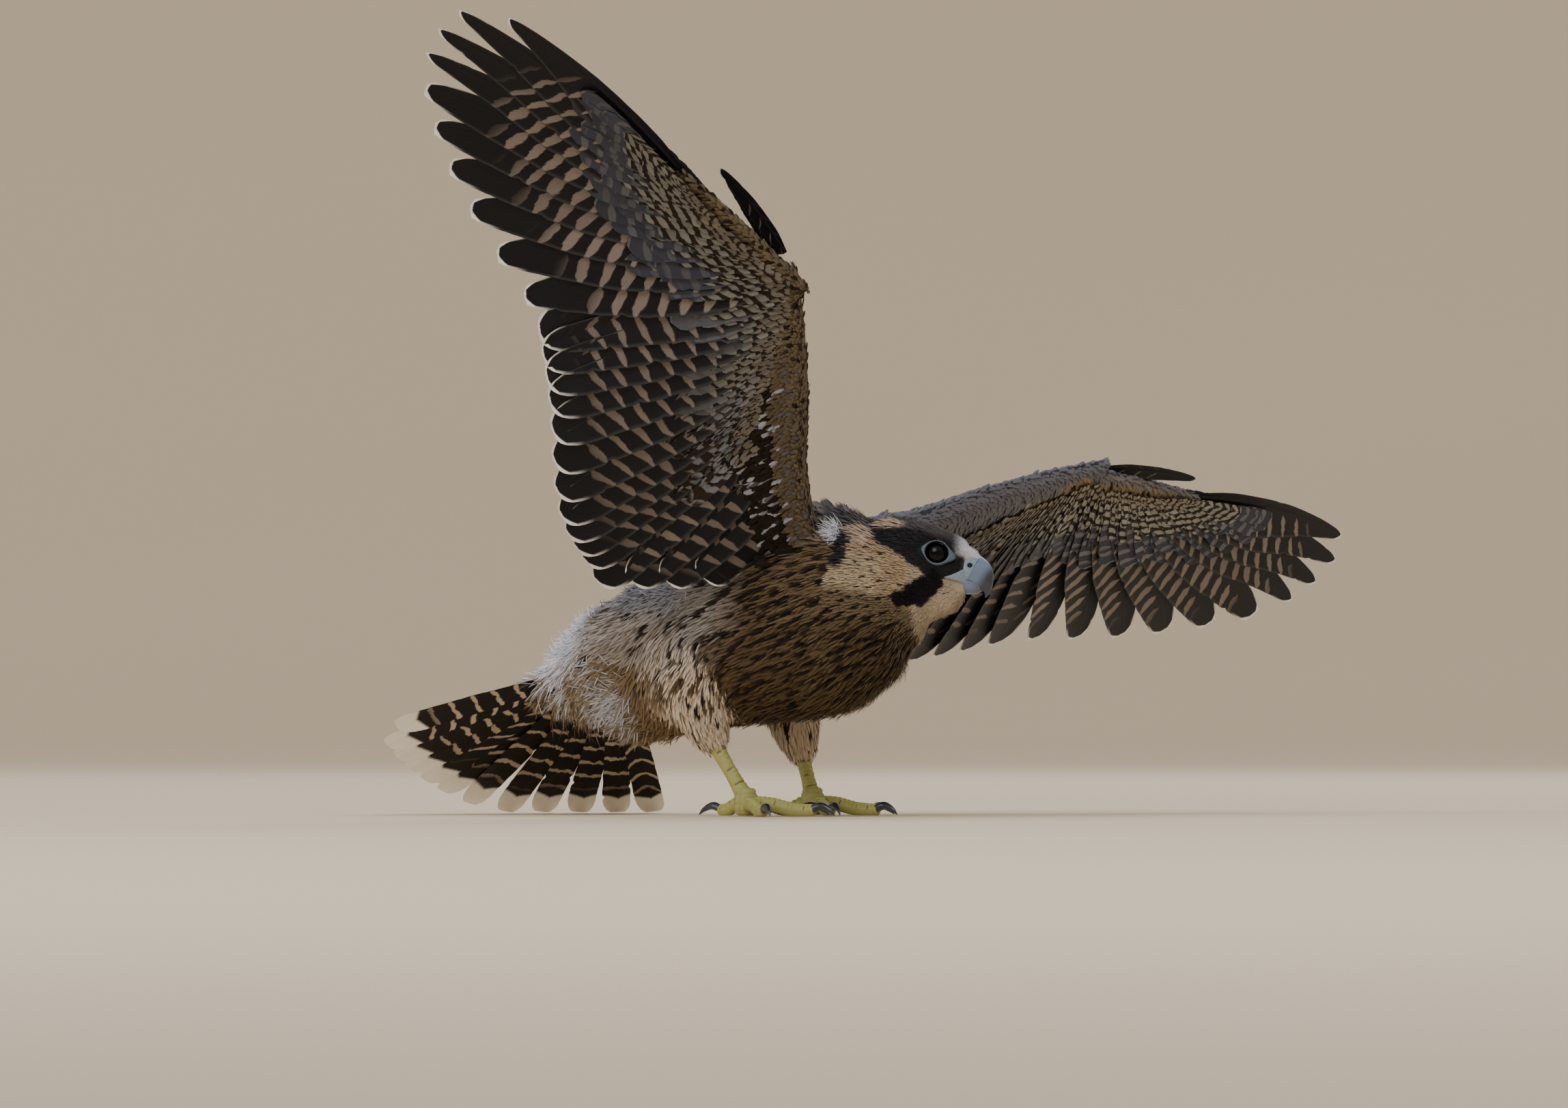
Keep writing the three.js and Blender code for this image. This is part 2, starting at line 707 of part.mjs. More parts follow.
// A round pit in the side of the cere.
function nostrilPit(side) {
  const ringAt = (out, radius) =>
    ovalRing(
      vec(NOSTRIL.forward, side * out, NOSTRIL.height),
      vec(1, 0, 0),
      vec(0, 0, 1),
      radius,
      radius,
      radius,
      NOSTRIL_SIDES,
    );
  const surface = 6.4;
  const bottom = ringAt(surface - NOSTRIL.depth, NOSTRIL.radius * 0.7);
  return placed(skin([bottom, ringAt(surface + 3, NOSTRIL.radius)]));
}

// The line of the mouth: a thin slit in the side of the head from its corner to the bill.
function mouthSlit(side) {
  const rings = [MOUTH.from, (MOUTH.from + MOUTH.to) / 2, MOUTH.to].map((x, i) => {
    const z = MOUTH.height + MOUTH.slope * (x - MOUTH.from);
    const open = MOUTH.open * [0.5, 1, 1][i];
    const surface = headSide(x, z);
    const inner = vec(x, side * (surface - MOUTH.depth), z);
    const outer = vec(x, side * (surface + 2), z);
    const upwards = vec(0, 0, 1);
    return [inner, plus(outer, [upwards, -open]), plus(outer, [upwards, open])];
  });
  return placed(skin(rings));
}

// Legs and feet
const LEGS = {
  right: {
    thigh: [
      [-40, -8, 94, 20, 28, 26],
      [-41, -17, 76, 18, 24, 24],
      [-37, -16, 54, 13, 17, 16],
      [-32, -13, 38, 7, 9, 9],
    ],
    ankle: vec(-32, -13, 38),
    foot: vec(-13, -11.5, 9),
    inner: 1,
  },
  left: {
    thigh: [
      [-26, 30, 88, 19, 24, 24],
      [-22, 42, 64, 16, 19, 19],
      [-18, 45, 45, 12, 13, 13],
      [-15, 46, 32, 7, 8, 8],
    ],
    ankle: vec(-15, 46, 32),
    foot: vec(-7, 44, 9),
    inner: -1,
  },
};
const THIGH_SIDES = 12;
const TARSUS_RADIUS = 3.6;
// Toes: bearing from straight ahead (inner side positive), length, radius, claw length.
const TOES = {
  inner: { bearing: 38, length: 30, radius: 3.6, claw: 17 },
  middle: { bearing: 2, length: 42, radius: 3.6, claw: 15 },
  outer: { bearing: -40, length: 33, radius: 3.2, claw: 13 },
  hind: { bearing: 172, length: 18, radius: 3.5, claw: 18 },
};

// Rings of a round limb along points, kept above the ground.
function limbRings(points, radii, count) {
  const path = new THREE.CatmullRomCurve3(points);
  return radii.map((radius, k) => {
    const t = k / (radii.length - 1);
    const forward = path.getTangent(t).normalize();
    const level = Math.abs(forward.z) > 0.8 ? vec(0, 1, 0) : across(vec(0, 0, 1), forward);
    const sideways = squareTo(level, forward);
    const upwards = across(forward, sideways).normalize();
    return ovalRing(path.getPoint(t), sideways, upwards, radius, radius, radius, count).map((p) =>
      vec(p.x, p.y, Math.max(0, p.z)),
    );
  });
}

function toeDirection(leg, toe) {
  return turned(vec(1, 0, 0), vec(0, 0, 1), leg.inner * toe.bearing);
}

function toeShape(leg, toe) {
  const direction = toeDirection(leg, toe);
  const { length, radius } = toe;
  const start = leg.foot.clone();
  const points = [
    vec(start.x, start.y, 6),
    plus(vec(start.x, start.y, radius + 2.4), [direction, length * 0.35]),
    plus(vec(start.x, start.y, radius - 0.4), [direction, length * 0.7]),
    plus(vec(start.x, start.y, radius - 0.9), [direction, length]),
  ];
  const radii = [1.1, 1.04, 0.98, 1.0, 0.74].map((share) => share * radius);
  return skin(limbRings(points, radii, TOE_SIDES));
}

function clawShape(leg, toe) {
  const direction = toeDirection(leg, toe);
  const { length, claw, radius } = toe;
  const at = (distance, height) => plus(vec(leg.foot.x, leg.foot.y, height), [direction, distance]);
  const points = [
    at(length - 1.5, radius),
    at(length + claw * 0.3, radius + 1.6),
    at(length + claw * 0.65, radius - 0.6),
    at(length + claw * 0.82, 0.5),
  ];
  return skin(limbRings(points, [2.2, 2.1, 1.3, 0.35], CLAW_SIDES));
}

// The pad under the foot joint: [height over the ground, radius].
const PAD_PROFILE = [
  [0, 3.6],
  [1.4, 5.6],
  [7, 6.2],
  [12, 5.6],
  [14.6, 4.2],
];
const PAD_SIDES = 10;

function footShape(leg) {
  const pad = PAD_PROFILE.map(([height, radius]) => {
    const centre = vec(leg.foot.x, leg.foot.y, height);
    return ovalRing(centre, vec(1, 0, 0), vec(0, 1, 0), radius, radius, radius, PAD_SIDES);
  });
  return [skin(pad), ...Object.values(TOES).map((toe) => toeShape(leg, toe))];
}

// Tail
const TAIL_RANK_DROP = 0.9;
// Each feather further out is this much shorter, on the far and on the near side.
const TAIL_FAR_SHORTER = 3;
const TAIL_NEAR_SHORTER = 2.5;
// The outermost one on the near side is still growing.
const TAIL_LAST_SHORTER = 10;
// A feather that would reach through the ground is raised until only its tip is cut to a small flat.
const TIP_FLAT_DEPTH = -0.25;
const TAIL_HALF_WIDTHS = { inner: 9, outer: 6.5 };
const tailLevel = turned(vec(-1, 0, 0), vec(0, 0, 1), -TAIL_YAW);
const tailLeft0 = across(tailLevel, vec(0, 0, 1)).normalize();
const tailAxis = turned(tailLevel, tailLeft0, -TAIL_PITCH);
const tailLeft = turned(tailLeft0, tailAxis, TAIL_ROLL);
const tailUp = across(tailLeft, tailAxis).normalize();

function tailFeather(i) {
  const place = i - (TAIL_COUNT - 1) / 2;
  const side = Math.sign(place);
  const rank = Math.abs(place) - 0.5;
  const angle = radians(((side > 0 ? TAIL_FAR_FAN : TAIL_NEAR_FAN) * place) / ((TAIL_COUNT - 1) / 2));
  const along = plus(tailAxis.clone().multiplyScalar(Math.cos(angle)), [tailLeft, Math.sin(angle)]);
  const drop = TAIL_RANK_DROP * (2 * rank + (side > 0 ? 1 : 0));
  const root = plus(TAIL_ROOT, [tailLeft, place * 1.7], [tailUp, 5 - drop]);
  const lastShorter = i === 0 ? TAIL_LAST_SHORTER : 0;
  const length = TAIL_LENGTH - lastShorter - (side > 0 ? TAIL_FAR_SHORTER : TAIL_NEAR_SHORTER) * rank;
  const made = () =>
    vane({
      root,
      along,
      inward: tailLeft.clone().multiplyScalar(-side),
      under: tailUp.clone().negate(),
      length,
      inner: TAIL_HALF_WIDTHS.inner,
      outer: TAIL_HALF_WIDTHS.outer,
      outline: BROAD_OUTLINE,
      bow: 0,
      sag: 0,
      tilt: 2,
    });
  const sunk = (shape) => TIP_FLAT_DEPTH - Math.min(...shape.points.map((p) => p.z));
  let shape = made();
  for (let tries = 0; tries < 6 && sunk(shape) > 0; tries++) {
    along.z += sunk(shape) / length;
    along.normalize();
    shape = made();
  }
  return shape;
}

// The whole bird
const bird = new THREE.Group();

function addMesh(name, shape, colour, roughness = 0.85) {
  const { numProp, vertProperties, triVerts } = shape.getMesh();
  const place = new Float32Array((vertProperties.length / numProp) * 3);
  for (let i = 0; i < place.length; i += 3) {
    const from = (i / 3) * numProp;
    place.set(vertProperties.subarray(from, from + 3), i);
  }
  const geometry = new THREE.BufferGeometry();
  geometry.setAttribute("position", new THREE.BufferAttribute(place, 3));
  geometry.setIndex(new THREE.BufferAttribute(new Uint32Array(triVerts), 1));
  geometry.computeVertexNormals();
  const material = new THREE.MeshStandardMaterial({ color: colour, roughness, metalness: 0 });
  const mesh = new THREE.Mesh(geometry, material);
  mesh.name = name;
  bird.add(mesh);
}

const trunkRings = stationRings(TRUNK, TRUNK_STEPS, TRUNK_SIDES, BODY_BANK);
const trunkShape = skin(trunkRings);
const trunkCutter = solid(grown(trunkShape, JOINT_GAP));
const bodyCutter = solid(grown(skin(trunkRings.slice(COVERTS_END)), JOINT_GAP));
const headShape = placed(skin(stationRings(HEAD_STATIONS, 2, HEAD_SIDES, 0)));
const headCutter = solid(grown(headShape, JOINT_GAP));
const neckRings = trunkStretch(trunkRings, TORSO_END, trunkRings.length - 1);

const thighs = {};
const feet = {};
for (const [side, leg] of Object.entries(LEGS)) {
  thighs[side] = skin(stationRings(leg.thigh, 2, THIGH_SIDES, 0));
  feet[side] = footShape(leg);
}

const cere = solid(billShape(CERE_STATIONS));
const upperBill = solid(billShape(BILL_STATIONS));
const lowerBill = solid(billShape(LOWER_BILL_STATIONS));
const upperCutter = wasm.Manifold.union([
  solid(grown(billShape(CERE_STATIONS), JOINT_GAP)),
  solid(grown(billShape(BILL_STATIONS), JOINT_GAP)),
]);
const lowerPiece = lowerBill.subtract(upperCutter);
const bothSides = [
  ["left", 1],
  ["right", -1],
];
const headCuts = [upperCutter, solid(grown(billShape(LOWER_BILL_STATIONS), JOINT_GAP))];
for (const [, sign] of bothSides) headCuts.push(solid(eyeSocket(sign)), solid(mouthSlit(sign)));
const nostrils = wasm.Manifold.union(bothSides.map(([, sign]) => solid(nostrilPit(sign))));

addMesh("rump", largest(solid(skin(trunkStretch(trunkRings, COVERTS_END, RUMP_END)))), COLOURS.down);
addMesh("torso", largest(solid(skin(trunkStretch(trunkRings, RUMP_END, TORSO_END)))), COLOURS.breast);
addMesh("neck", largest(solid(skin(neckRings)).subtract(headCutter)), COLOURS.breast);
addMesh("head", largest(solid(headShape).subtract(wasm.Manifold.union(headCuts))), COLOURS.cap);
addMesh("cere", largest(cere.subtract(nostrils)), COLOURS.cere, 0.5);
addMesh("bill_upper", largest(upperBill), COLOURS.bill, 0.4);
addMesh("bill_lower", largest(lowerPiece), COLOURS.bill, 0.4);
for (const [side, sign] of bothSides) {
  addMesh("eye_" + side, solid(eyeBall(sign)), COLOURS.eye, 0.1);
  addMesh("lid_" + side, solid(lidRing(sign)), COLOURS.lid, 0.5);
}

for (const [side, wing] of Object.entries(WINGS)) {
  const parts = wingParts(wing);
  addMesh("wing_arm_" + side, largest(parts.arm.subtract(trunkCutter)), COLOURS.flight);
  addMesh("wing_hand_" + side, largest(parts.hand), COLOURS.flight);
  addMesh("alula_" + side, largest(parts.alula), COLOURS.flight);
}

const tailCoverts = solid(skin(trunkRings.slice(0, COVERTS_END + 1)));
const tail = joined([tailCoverts, ...upTo(TAIL_COUNT).map((i) => solid(tailFeather(i)))]);
addMesh("tail", largest(tail.subtract(bodyCutter).trimByPlane([0, 0, 1], 0)), COLOURS.tail);

for (const [side, leg] of Object.entries(LEGS)) {
  const foot = joined(feet[side].map(solid));
  const footCutter = wasm.Manifold.union(feet[side].map((piece) => solid(grown(piece, JOINT_GAP))));
  const thighCutter = solid(grown(thighs[side], JOINT_GAP));
  const tarsusPath = [leg.ankle, mix(leg.ankle, leg.foot, 0.5), leg.foot];
  const radii = [1.1, 1, 0.95, 1.05, 1.3].map((share) => share * TARSUS_RADIUS);
  const tarsus = solid(skin(limbRings(tarsusPath, radii, TOE_SIDES)));
  addMesh("thigh_" + side, largest(solid(thighs[side]).subtract(trunkCutter)), COLOURS.thigh);
  addMesh("tarsus_" + side, largest(tarsus.subtract(thighCutter).subtract(footCutter)), COLOURS.scale, 0.6);
  addMesh("foot_" + side, foot, COLOURS.scale, 0.6);
  for (const [name, toe] of Object.entries(TOES)) {
    const claw = solid(clawShape(leg, toe)).subtract(footCutter);
    addMesh("claw_" + name + "_" + side, largest(claw), COLOURS.claw, 0.3);
  }
}

bird.position.copy(FOOT_TO_ORIGIN);

export default bird;
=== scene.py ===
"""Dresses a life-size young falcon in skin, feathers, down, horn and scales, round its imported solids.

Lengths are in millimetres in the bird's own frame (+X forward, +Y its left, +Z up, ground at 0)
until a mesh is made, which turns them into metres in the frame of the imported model.
"""

import logging
import math
from dataclasses import dataclass, field
from enum import Enum

import bmesh
import bpy
import numpy as np
from mathutils import Matrix, Vector
from mathutils.kdtree import KDTree


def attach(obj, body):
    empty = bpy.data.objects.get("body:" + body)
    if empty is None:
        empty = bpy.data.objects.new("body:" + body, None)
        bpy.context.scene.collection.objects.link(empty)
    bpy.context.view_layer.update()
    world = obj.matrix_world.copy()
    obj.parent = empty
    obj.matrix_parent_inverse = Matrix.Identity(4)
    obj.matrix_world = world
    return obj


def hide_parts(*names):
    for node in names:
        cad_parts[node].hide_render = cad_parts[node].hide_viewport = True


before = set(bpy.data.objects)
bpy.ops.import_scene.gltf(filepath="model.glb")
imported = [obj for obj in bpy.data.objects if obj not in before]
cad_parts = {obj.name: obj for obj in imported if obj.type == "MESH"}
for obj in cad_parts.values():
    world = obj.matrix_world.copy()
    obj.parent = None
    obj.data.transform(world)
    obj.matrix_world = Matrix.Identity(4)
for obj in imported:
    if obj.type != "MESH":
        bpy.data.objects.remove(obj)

logging.basicConfig(level=logging.INFO, format="%(message)s")
log = logging.getLogger("falcon")

Array = np.ndarray
MM = 0.001
FOOT_TO_ORIGIN = np.array([13.0, 11.5, 0.0])
BODY = "root"
SEED = 20
RING = 24
FAR = 999.0
FLOOR_GAP = 0.05
VECTORS = ("form", "lay", "turn", "size")
TINY = 1e-9


class Side(Enum):
    """A side of the bird, with the sign of its own left-hand direction."""

    LEFT = 1
    RIGHT = -1

    @property
    def word(self) -> str:
        """The side as it stands in a node's name."""
        return self.name.lower()


class Face(Enum):
    """The face of a wing or feather: towards the ground in flight, or away from it."""

    UNDER = 1
    UPPER = -1


# Geometry helpers


def vec(x: float, y: float, z: float) -> Array:
    """A point or direction."""
    return np.array([x, y, z], dtype=float)


FORWARD, LEFTWARD, UPWARD = vec(1, 0, 0), vec(0, 1, 0), vec(0, 0, 1)


def unit(v: Array) -> Array:
    """The same direction with length 1, for one vector or a row of them."""
    return v / np.maximum(np.linalg.norm(v, axis=-1, keepdims=True), TINY)


def dot(a: Array, b: Array) -> Array:
    """The products of two rows of vectors, kept as a column."""
    return np.sum(a * b, axis=-1, keepdims=True)


def square_to(v: Array, axis: Array) -> Array:
    """The part of v at right angles to axis, with length 1."""
    return unit(v - axis * dot(v, axis))


def turned(v: Array, axis: Array, degrees: float) -> Array:
    """v turned about axis."""
    angle = math.radians(degrees)
    lengthwise = axis * dot(v, axis) * (1 - math.cos(angle))
    return v * math.cos(angle) + np.cross(axis, v) * math.sin(angle) + lengthwise


def mix(a: Array, b: Array, share: float) -> Array:
    """A blend of a and b."""
    return a + (b - a) * share


def smooth(low: float, high: float, x: Array) -> Array:
    """A soft step from 0 at low to 1 at high; low may be the larger."""
    t = np.clip((x - low) / (high - low), 0.0, 1.0)
    return t * t * (3 - 2 * t)


def through(pairs: tuple, x: Array) -> Array:
    """The value of a smooth curve through points.

    Args:
        pairs: The points, as (x, value) pairs in the order of x.
        x: The places to look at.

    Returns:
        The values there.
    """
    xs = np.array([pair[0] for pair in pairs], dtype=float)
    ys = np.array([pair[1] for pair in pairs], dtype=float)
    slopes = np.gradient(ys, xs)
    x = np.clip(np.asarray(x, dtype=float), xs[0], xs[-1])
    i = np.clip(np.searchsorted(xs, x) - 1, 0, len(xs) - 2)
    gap = xs[i + 1] - xs[i]
    t = (x - xs[i]) / gap
    a = (2 * t**3 - 3 * t**2 + 1) * ys[i] + (t**3 - 2 * t**2 + t) * gap * slopes[i]
    return a + (3 * t**2 - 2 * t**3) * ys[i + 1] + (t**3 - t**2) * gap * slopes[i + 1]


class Spline:
    """A smooth curve through points, eased by the distance between them."""

    def __init__(self, points: list) -> None:
        """Keeps the points, a row of equally long lists."""
        self.points = np.asarray(points, dtype=float)

    def at(self, t: float) -> Array:
        """The point at a place on the curve.

        Args:
            t: The place, from 0 at the first point to 1 at the last.

        Returns:
            The point.
        """
        points = self.points
        last = len(points) - 1
        place = min(max(t, 0.0), 1.0) * last
        i = min(int(place), last - 1)
        w = place - i
        p1, p2 = points[i], points[i + 1]
        p0 = points[i - 1] if i > 0 else 2 * points[0] - points[1]
        p3 = points[i + 2] if i + 2 <= last else 2 * points[last] - points[last - 1]
        d0, d1, d2 = (np.sum((b - a) ** 2) ** 0.25 for a, b in ((p0, p1), (p1, p2), (p2, p3)))
        d1 = d1 if d1 > 1e-4 else 1.0
        d0 = d0 if d0 > 1e-4 else d1
        d2 = d2 if d2 > 1e-4 else d1
        m1 = ((p1 - p0) / d0 - (p2 - p0) / (d0 + d1) + (p2 - p1) / d1) * d1
        m2 = ((p2 - p1) / d1 - (p3 - p1) / (d1 + d2) + (p3 - p2) / d2) * d1
        cubic = 2 * p1 - 2 * p2 + m1 + m2
        square = -3 * p1 + 3 * p2 - 2 * m1 - m2
        return p1 + m1 * w + square * w**2 + cubic * w**3

    def tangent(self, t: float) -> Array:
        """The direction of the curve at t."""
        step = 1e-3
        return unit(self.at(min(1.0, t + step)) - self.at(max(0.0, t - step)))


def turns(count: int) -> Array:
    """Evenly spaced angles all the way round."""
    return np.arange(count) * math.tau / count


def oval(centre: Array, sideways: Array, upwards: Array, sizes: tuple, count: int) -> Array:
    """A closed ring of points.

    Args:
        centre: Its middle.
        sideways: The direction of its width.
        upwards: The direction of its height.
        sizes: Half width, reach upwards and reach downwards.
        count: How many points.

    Returns:
        The points, in order.
    """
    turn = turns(count)
    wide, up, down = sizes
    height = np.sin(turn) * np.where(np.sin(turn) > 0, up, down)
    return centre + np.outer(wide * np.cos(turn), sideways) + np.outer(height, upwards)


def loft(rings: list, capped: bool = True) -> tuple:
    """A skin over rings with equally many points.

    Args:
        rings: The rings, in order.
        capped: Whether the first and the last ring are closed.

    Returns:
        The points, and the faces as tuples of point numbers.
    """
    count, last = len(rings[0]), (len(rings) - 1) * len(rings[0])
    faces = []
    for start in range(0, last, count):
        for i in range(count):
            j = (i + 1) % count
            faces.append((start + i, start + j, start + count + j, start + count + i))
    if capped:
        faces += [tuple(range(count))[::-1], tuple(range(last, last + count))]
    return np.concatenate(rings), faces


def joined(skins: list) -> tuple:
    """Several skins as one.

    Args:
        skins: The points and the faces of each.

    Returns:
        All the points, and all the faces with their new point numbers.
    """
    faces, start = [], 0
    for points, own in skins:
        faces += [tuple(i + start for i in face) for face in own]
        start += len(points)
    return np.concatenate([points for points, _ in skins]), faces


def tree_of(places: Array) -> KDTree:
    """A tree that finds the nearest of some places."""
    tree = KDTree(len(places))
    for i, place in enumerate(places):
        tree.insert(place, i)
    tree.balance()
    return tree


def to_row(points: Array) -> Array:
    """Points of the bird's own frame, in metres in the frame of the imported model."""
    return (points + FOOT_TO_ORIGIN) * MM


def from_row(points: Array) -> Array:
    """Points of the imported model's frame, in millimetres in the bird's own frame."""
    return points / MM - FOOT_TO_ORIGIN


def link(name: str, mesh: bpy.types.Mesh) -> bpy.types.Object:
    """A new object for a mesh, shaded smooth, in the scene."""
    mesh.polygons.foreach_set("use_smooth", np.ones(len(mesh.polygons), dtype=bool))
    piece = bpy.data.objects.new(name, mesh)
    bpy.context.scene.collection.objects.link(piece)
    return piece


def settled(piece: bpy.types.Object, name: str) -> bpy.types.Mesh:
    """The plain mesh that an object's modifiers give, in place of the object."""
    graph = bpy.context.evaluated_depsgraph_get()
    mesh = bpy.data.meshes.new_from_object(piece.evaluated_get(graph))
    mesh.name = name
    piece.modifiers.clear()
    bpy.data.objects.remove(piece)
    return mesh


def mesh_piece(name: str, points: Array, faces: list, material: bpy.types.Material) -> bpy.types.Object:
    """A piece whose faces all point outwards.

    Args:
        name: The piece's name.
        points: Its points, in the bird's own frame.
        faces: Tuples of point numbers.
        material: Its finish.

    Returns:
        The new object.
    """
    mesh = bpy.data.meshes.new(name)
    mesh.from_pydata(to_row(points).tolist(), [], faces)
    shape = bmesh.new()
    shape.from_mesh(mesh)
    bmesh.ops.recalc_face_normals(shape, faces=shape.faces[:])
    shape.to_mesh(mesh)
    shape.free()
    mesh.materials.append(material)
    return link(name, mesh)


def paint_points(mesh: bpy.types.Mesh, key: str, values: Array) -> None:
    """Keeps a vector or a colour for each point of a mesh."""
    if key in VECTORS:
        kind, part = "FLOAT_VECTOR", "vector"
    else:
        kind, part = "FLOAT_COLOR", "color"
        values = np.concatenate([values, np.ones((len(values), 1))], axis=1)
    layer = mesh.attributes.new(key, kind, "POINT")
    layer.data.foreach_set(part, values.astype(np.float32).ravel())


def hand_in(piece: bpy.types.Object, slot: str, *nodes: str) -> None:
    """Ties a finished piece to the body and hides the solids that it stands for."""
    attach(piece, BODY)
    if nodes:
        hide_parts(*nodes)
    log.info("%s: %d faces", piece.name, len(piece.data.polygons))


def painted_piece(name: str, skin: tuple, finish: bpy.types.Material, ground: Array, slot: str,
                  *nodes: str) -> None:
    """Makes a piece, colours its points and ties it to the body.

    Args:
        name: The piece's name.
        skin: Its points, in the bird's own frame, and its faces.
        finish: Its finish.
        ground: Its colour, or one for each point.
        slot: Its finish slot; not used.
        nodes: The solids that it stands for.
    """
    piece = mesh_piece(name, *skin, finish)
    paint_points(piece.data, "ground", np.broadcast_to(ground, skin[0].shape))
    hand_in(piece, slot, *nodes)


# Finishes


class Amount:
    """A number or colour in a material's node tree, which sums can be made of."""

    def __init__(self, nodes: "Nodes", socket: bpy.types.NodeSocket) -> None:
        """Keeps the tree, and the socket that the amount comes from."""
        self.nodes, self.socket = nodes, socket

    def __add__(self, other: object) -> "Amount":
        """This and the other."""
        return self.nodes.math("ADD", self, other)

    def __radd__(self, other: object) -> "Amount":
        """The other and this."""
        return self.nodes.math("ADD", other, self)

    def __sub__(self, other: object) -> "Amount":
        """This less the other."""
        return self.nodes.math("SUBTRACT", self, other)

    def __rsub__(self, other: object) -> "Amount":
        """The other less this."""
        return self.nodes.math("SUBTRACT", other, self)

    def __mul__(self, other: object) -> "Amount":
        """This times the other."""
        return self.nodes.math("MULTIPLY", self, other)


class Nodes:
    """Builds a material's node tree with short calls."""

    def __init__(self, name: str) -> None:
        """Starts a material with one shader and its output."""
        self.material = bpy.data.materials.new(name)
        self.material.use_nodes = True
        self.tree = self.material.node_tree
        self.shader = self.tree.nodes["Principled BSDF"]

    def put(self, kind: str, *values: object, **settings: object) -> bpy.types.Node:
        """A new node, with values for its first sockets and with some of its settings."""
        node = self.tree.nodes.new(kind)
        for name, value in settings.items():
            setattr(node, name, value)
        for socket, value in zip(node.inputs, values):
            self.join(socket, value)
        return node

    def join(self, socket: bpy.types.NodeSocket, value: object) -> None:
        """Links an amount to a socket, or sets a plain value there."""
        if isinstance(value, Amount):
            self.tree.links.new(value.socket, socket)
        else:
            socket.default_value = value

    def math(self, operation: str, *values: object, clamp: bool = False) -> Amount:
        """The result of one sum."""
        node = self.put("ShaderNodeMath", *values, operation=operation, use_clamp=clamp)
        return Amount(self, node.outputs[0])

    def step(self, low: object, high: object, x: object) -> Amount:
        """A soft step of x from 0 at low to 1 at high."""
        node = self.put("ShaderNodeMapRange", x, low, high, interpolation_type="SMOOTHSTEP")
        return Amount(self, node.outputs["Result"])

    def blend(self, share: object, a: object, b: object, way: str = "MIX") -> Amount:
        """A blend of two colours."""
        node = self.put("ShaderNodeMix", data_type="RGBA", blend_type=way)
        for name, value in (("Factor", share), ("A", a), ("B", b)):
            self.join(node.inputs[name], value)
        return Amount(self, next(out for out in node.outputs if out.type == "RGBA"))

    def shaded(self, colour: Amount, light: Amount) -> Amount:
        """A colour made lighter or darker."""
        return self.blend(1.0, colour, self.point(light, light, light), "MULTIPLY")

    def attribute(self, name: str) -> Amount:
        """A colour kept on the mesh."""
        return Amount(self, self.put("ShaderNodeAttribute", attribute_name=name).outputs["Color"])

    def numbers(self, name: str) -> list:
        """The three numbers of a vector kept on the mesh."""
        source = self.put("ShaderNodeAttribute", attribute_name=name).outputs["Vector"]
        return self.split(Amount(self, source))

    def split(self, vector: Amount) -> list:
        """The three numbers of a vector."""
        return [Amount(self, out) for out in self.put("ShaderNodeSeparateXYZ", vector).outputs]

    def vane(self) -> list:
        """The place on a feather, across and along it, from 0 to 1."""
        return self.split(Amount(self, self.put("ShaderNodeUVMap", uv_map="vane").outputs[0]))[:2]

    def point(self, x: object, y: object, z: object) -> Amount:
        """A vector of three numbers."""
        return Amount(self, self.put("ShaderNodeCombineXYZ", x, y, z).outputs[0])

    def place(self) -> Amount:
        """The point on the piece, in metres."""
        return Amount(self, self.put("ShaderNodeTexCoord").outputs["Object"])

    def noise(self, where: Amount, scale: float, detail: float = 2.0) -> Amount:
        """Soft noise from 0 to 1."""
        node = self.put("ShaderNodeTexNoise")
        for name, value in (("Vector", where), ("Scale", scale), ("Detail", detail)):
            self.join(node.inputs[name], value)
        return Amount(self, node.outputs["Fac"])

    def bump(self, height: Amount, strength: float, distance: float) -> None:
        """Raises the surface by a height from 0 to 1."""
        node = self.put("ShaderNodeBump")
        for name, value in (("Strength", strength), ("Distance", distance), ("Height", height)):
            self.join(node.inputs[name], value)
        self.join(self.shader.inputs["Normal"], Amount(self, node.outputs["Normal"]))

    def surface(self, colour: object, roughness: float, **uniform: float) -> bpy.types.Material:
        """Sets the shader's sockets and gives the finished material."""
        self.join(self.shader.inputs["Base Color"], colour)
        self.join(self.shader.inputs["Roughness"], roughness)
        for name, value in uniform.items():
            self.shader.inputs[name.replace("_", " ").title().replace("Ior", "IOR")].default_value = value
        return self.material


@dataclass(frozen=True)
class FeatherFinish:
    """A small feather's vane, coloured by values kept on the mesh.

    The map "vane" runs across (x) and along (y) each feather. "ground" is its colour at one edge,
    and "fringe" tints the rest and the tip, as strongly as the third number of "form" says. The
    third number of "lay" is the feather's own.
    """

    name: str = "feather_vane"
    barb_rows: float = 34.0
    barb_slant: float = 0.45
    barb_depth: float = 0.22
    roughness: float = 0.72

    def make(self) -> bpy.types.Material:
        """Builds the material.

        Returns:
            The material.
        """
        n = Nodes(self.name)
        across, along = n.vane()
        _, _, tint = n.numbers("form")
        _, _, own = n.numbers("lay")
        # How far from the untinted edge, where it is 0.5; the barbs run slanted away from there.
        off = n.math("MULTIPLY_ADD", across, 2.0, 0.5)
        fine = n.noise(n.point((along - off * self.barb_slant) * self.barb_rows, off * 1.6, own * 97.0), 1.0)
        rim = n.math("MAXIMUM", n.step(0.78, 1.0, off), n.step(0.86, 1.0, along))
        rim = n.math("MULTIPLY", rim, tint, clamp=True)
        colour = n.blend(rim, n.attribute("ground"), n.attribute("fringe"))
        colour = n.shaded(colour, 1.0 - self.barb_depth + fine * (2 * self.barb_depth))
        n.bump(fine, 0.25, 0.0003)
        return n.surface(colour, self.roughness, sheen_weight=0.04, specular_ior_level=0.12)


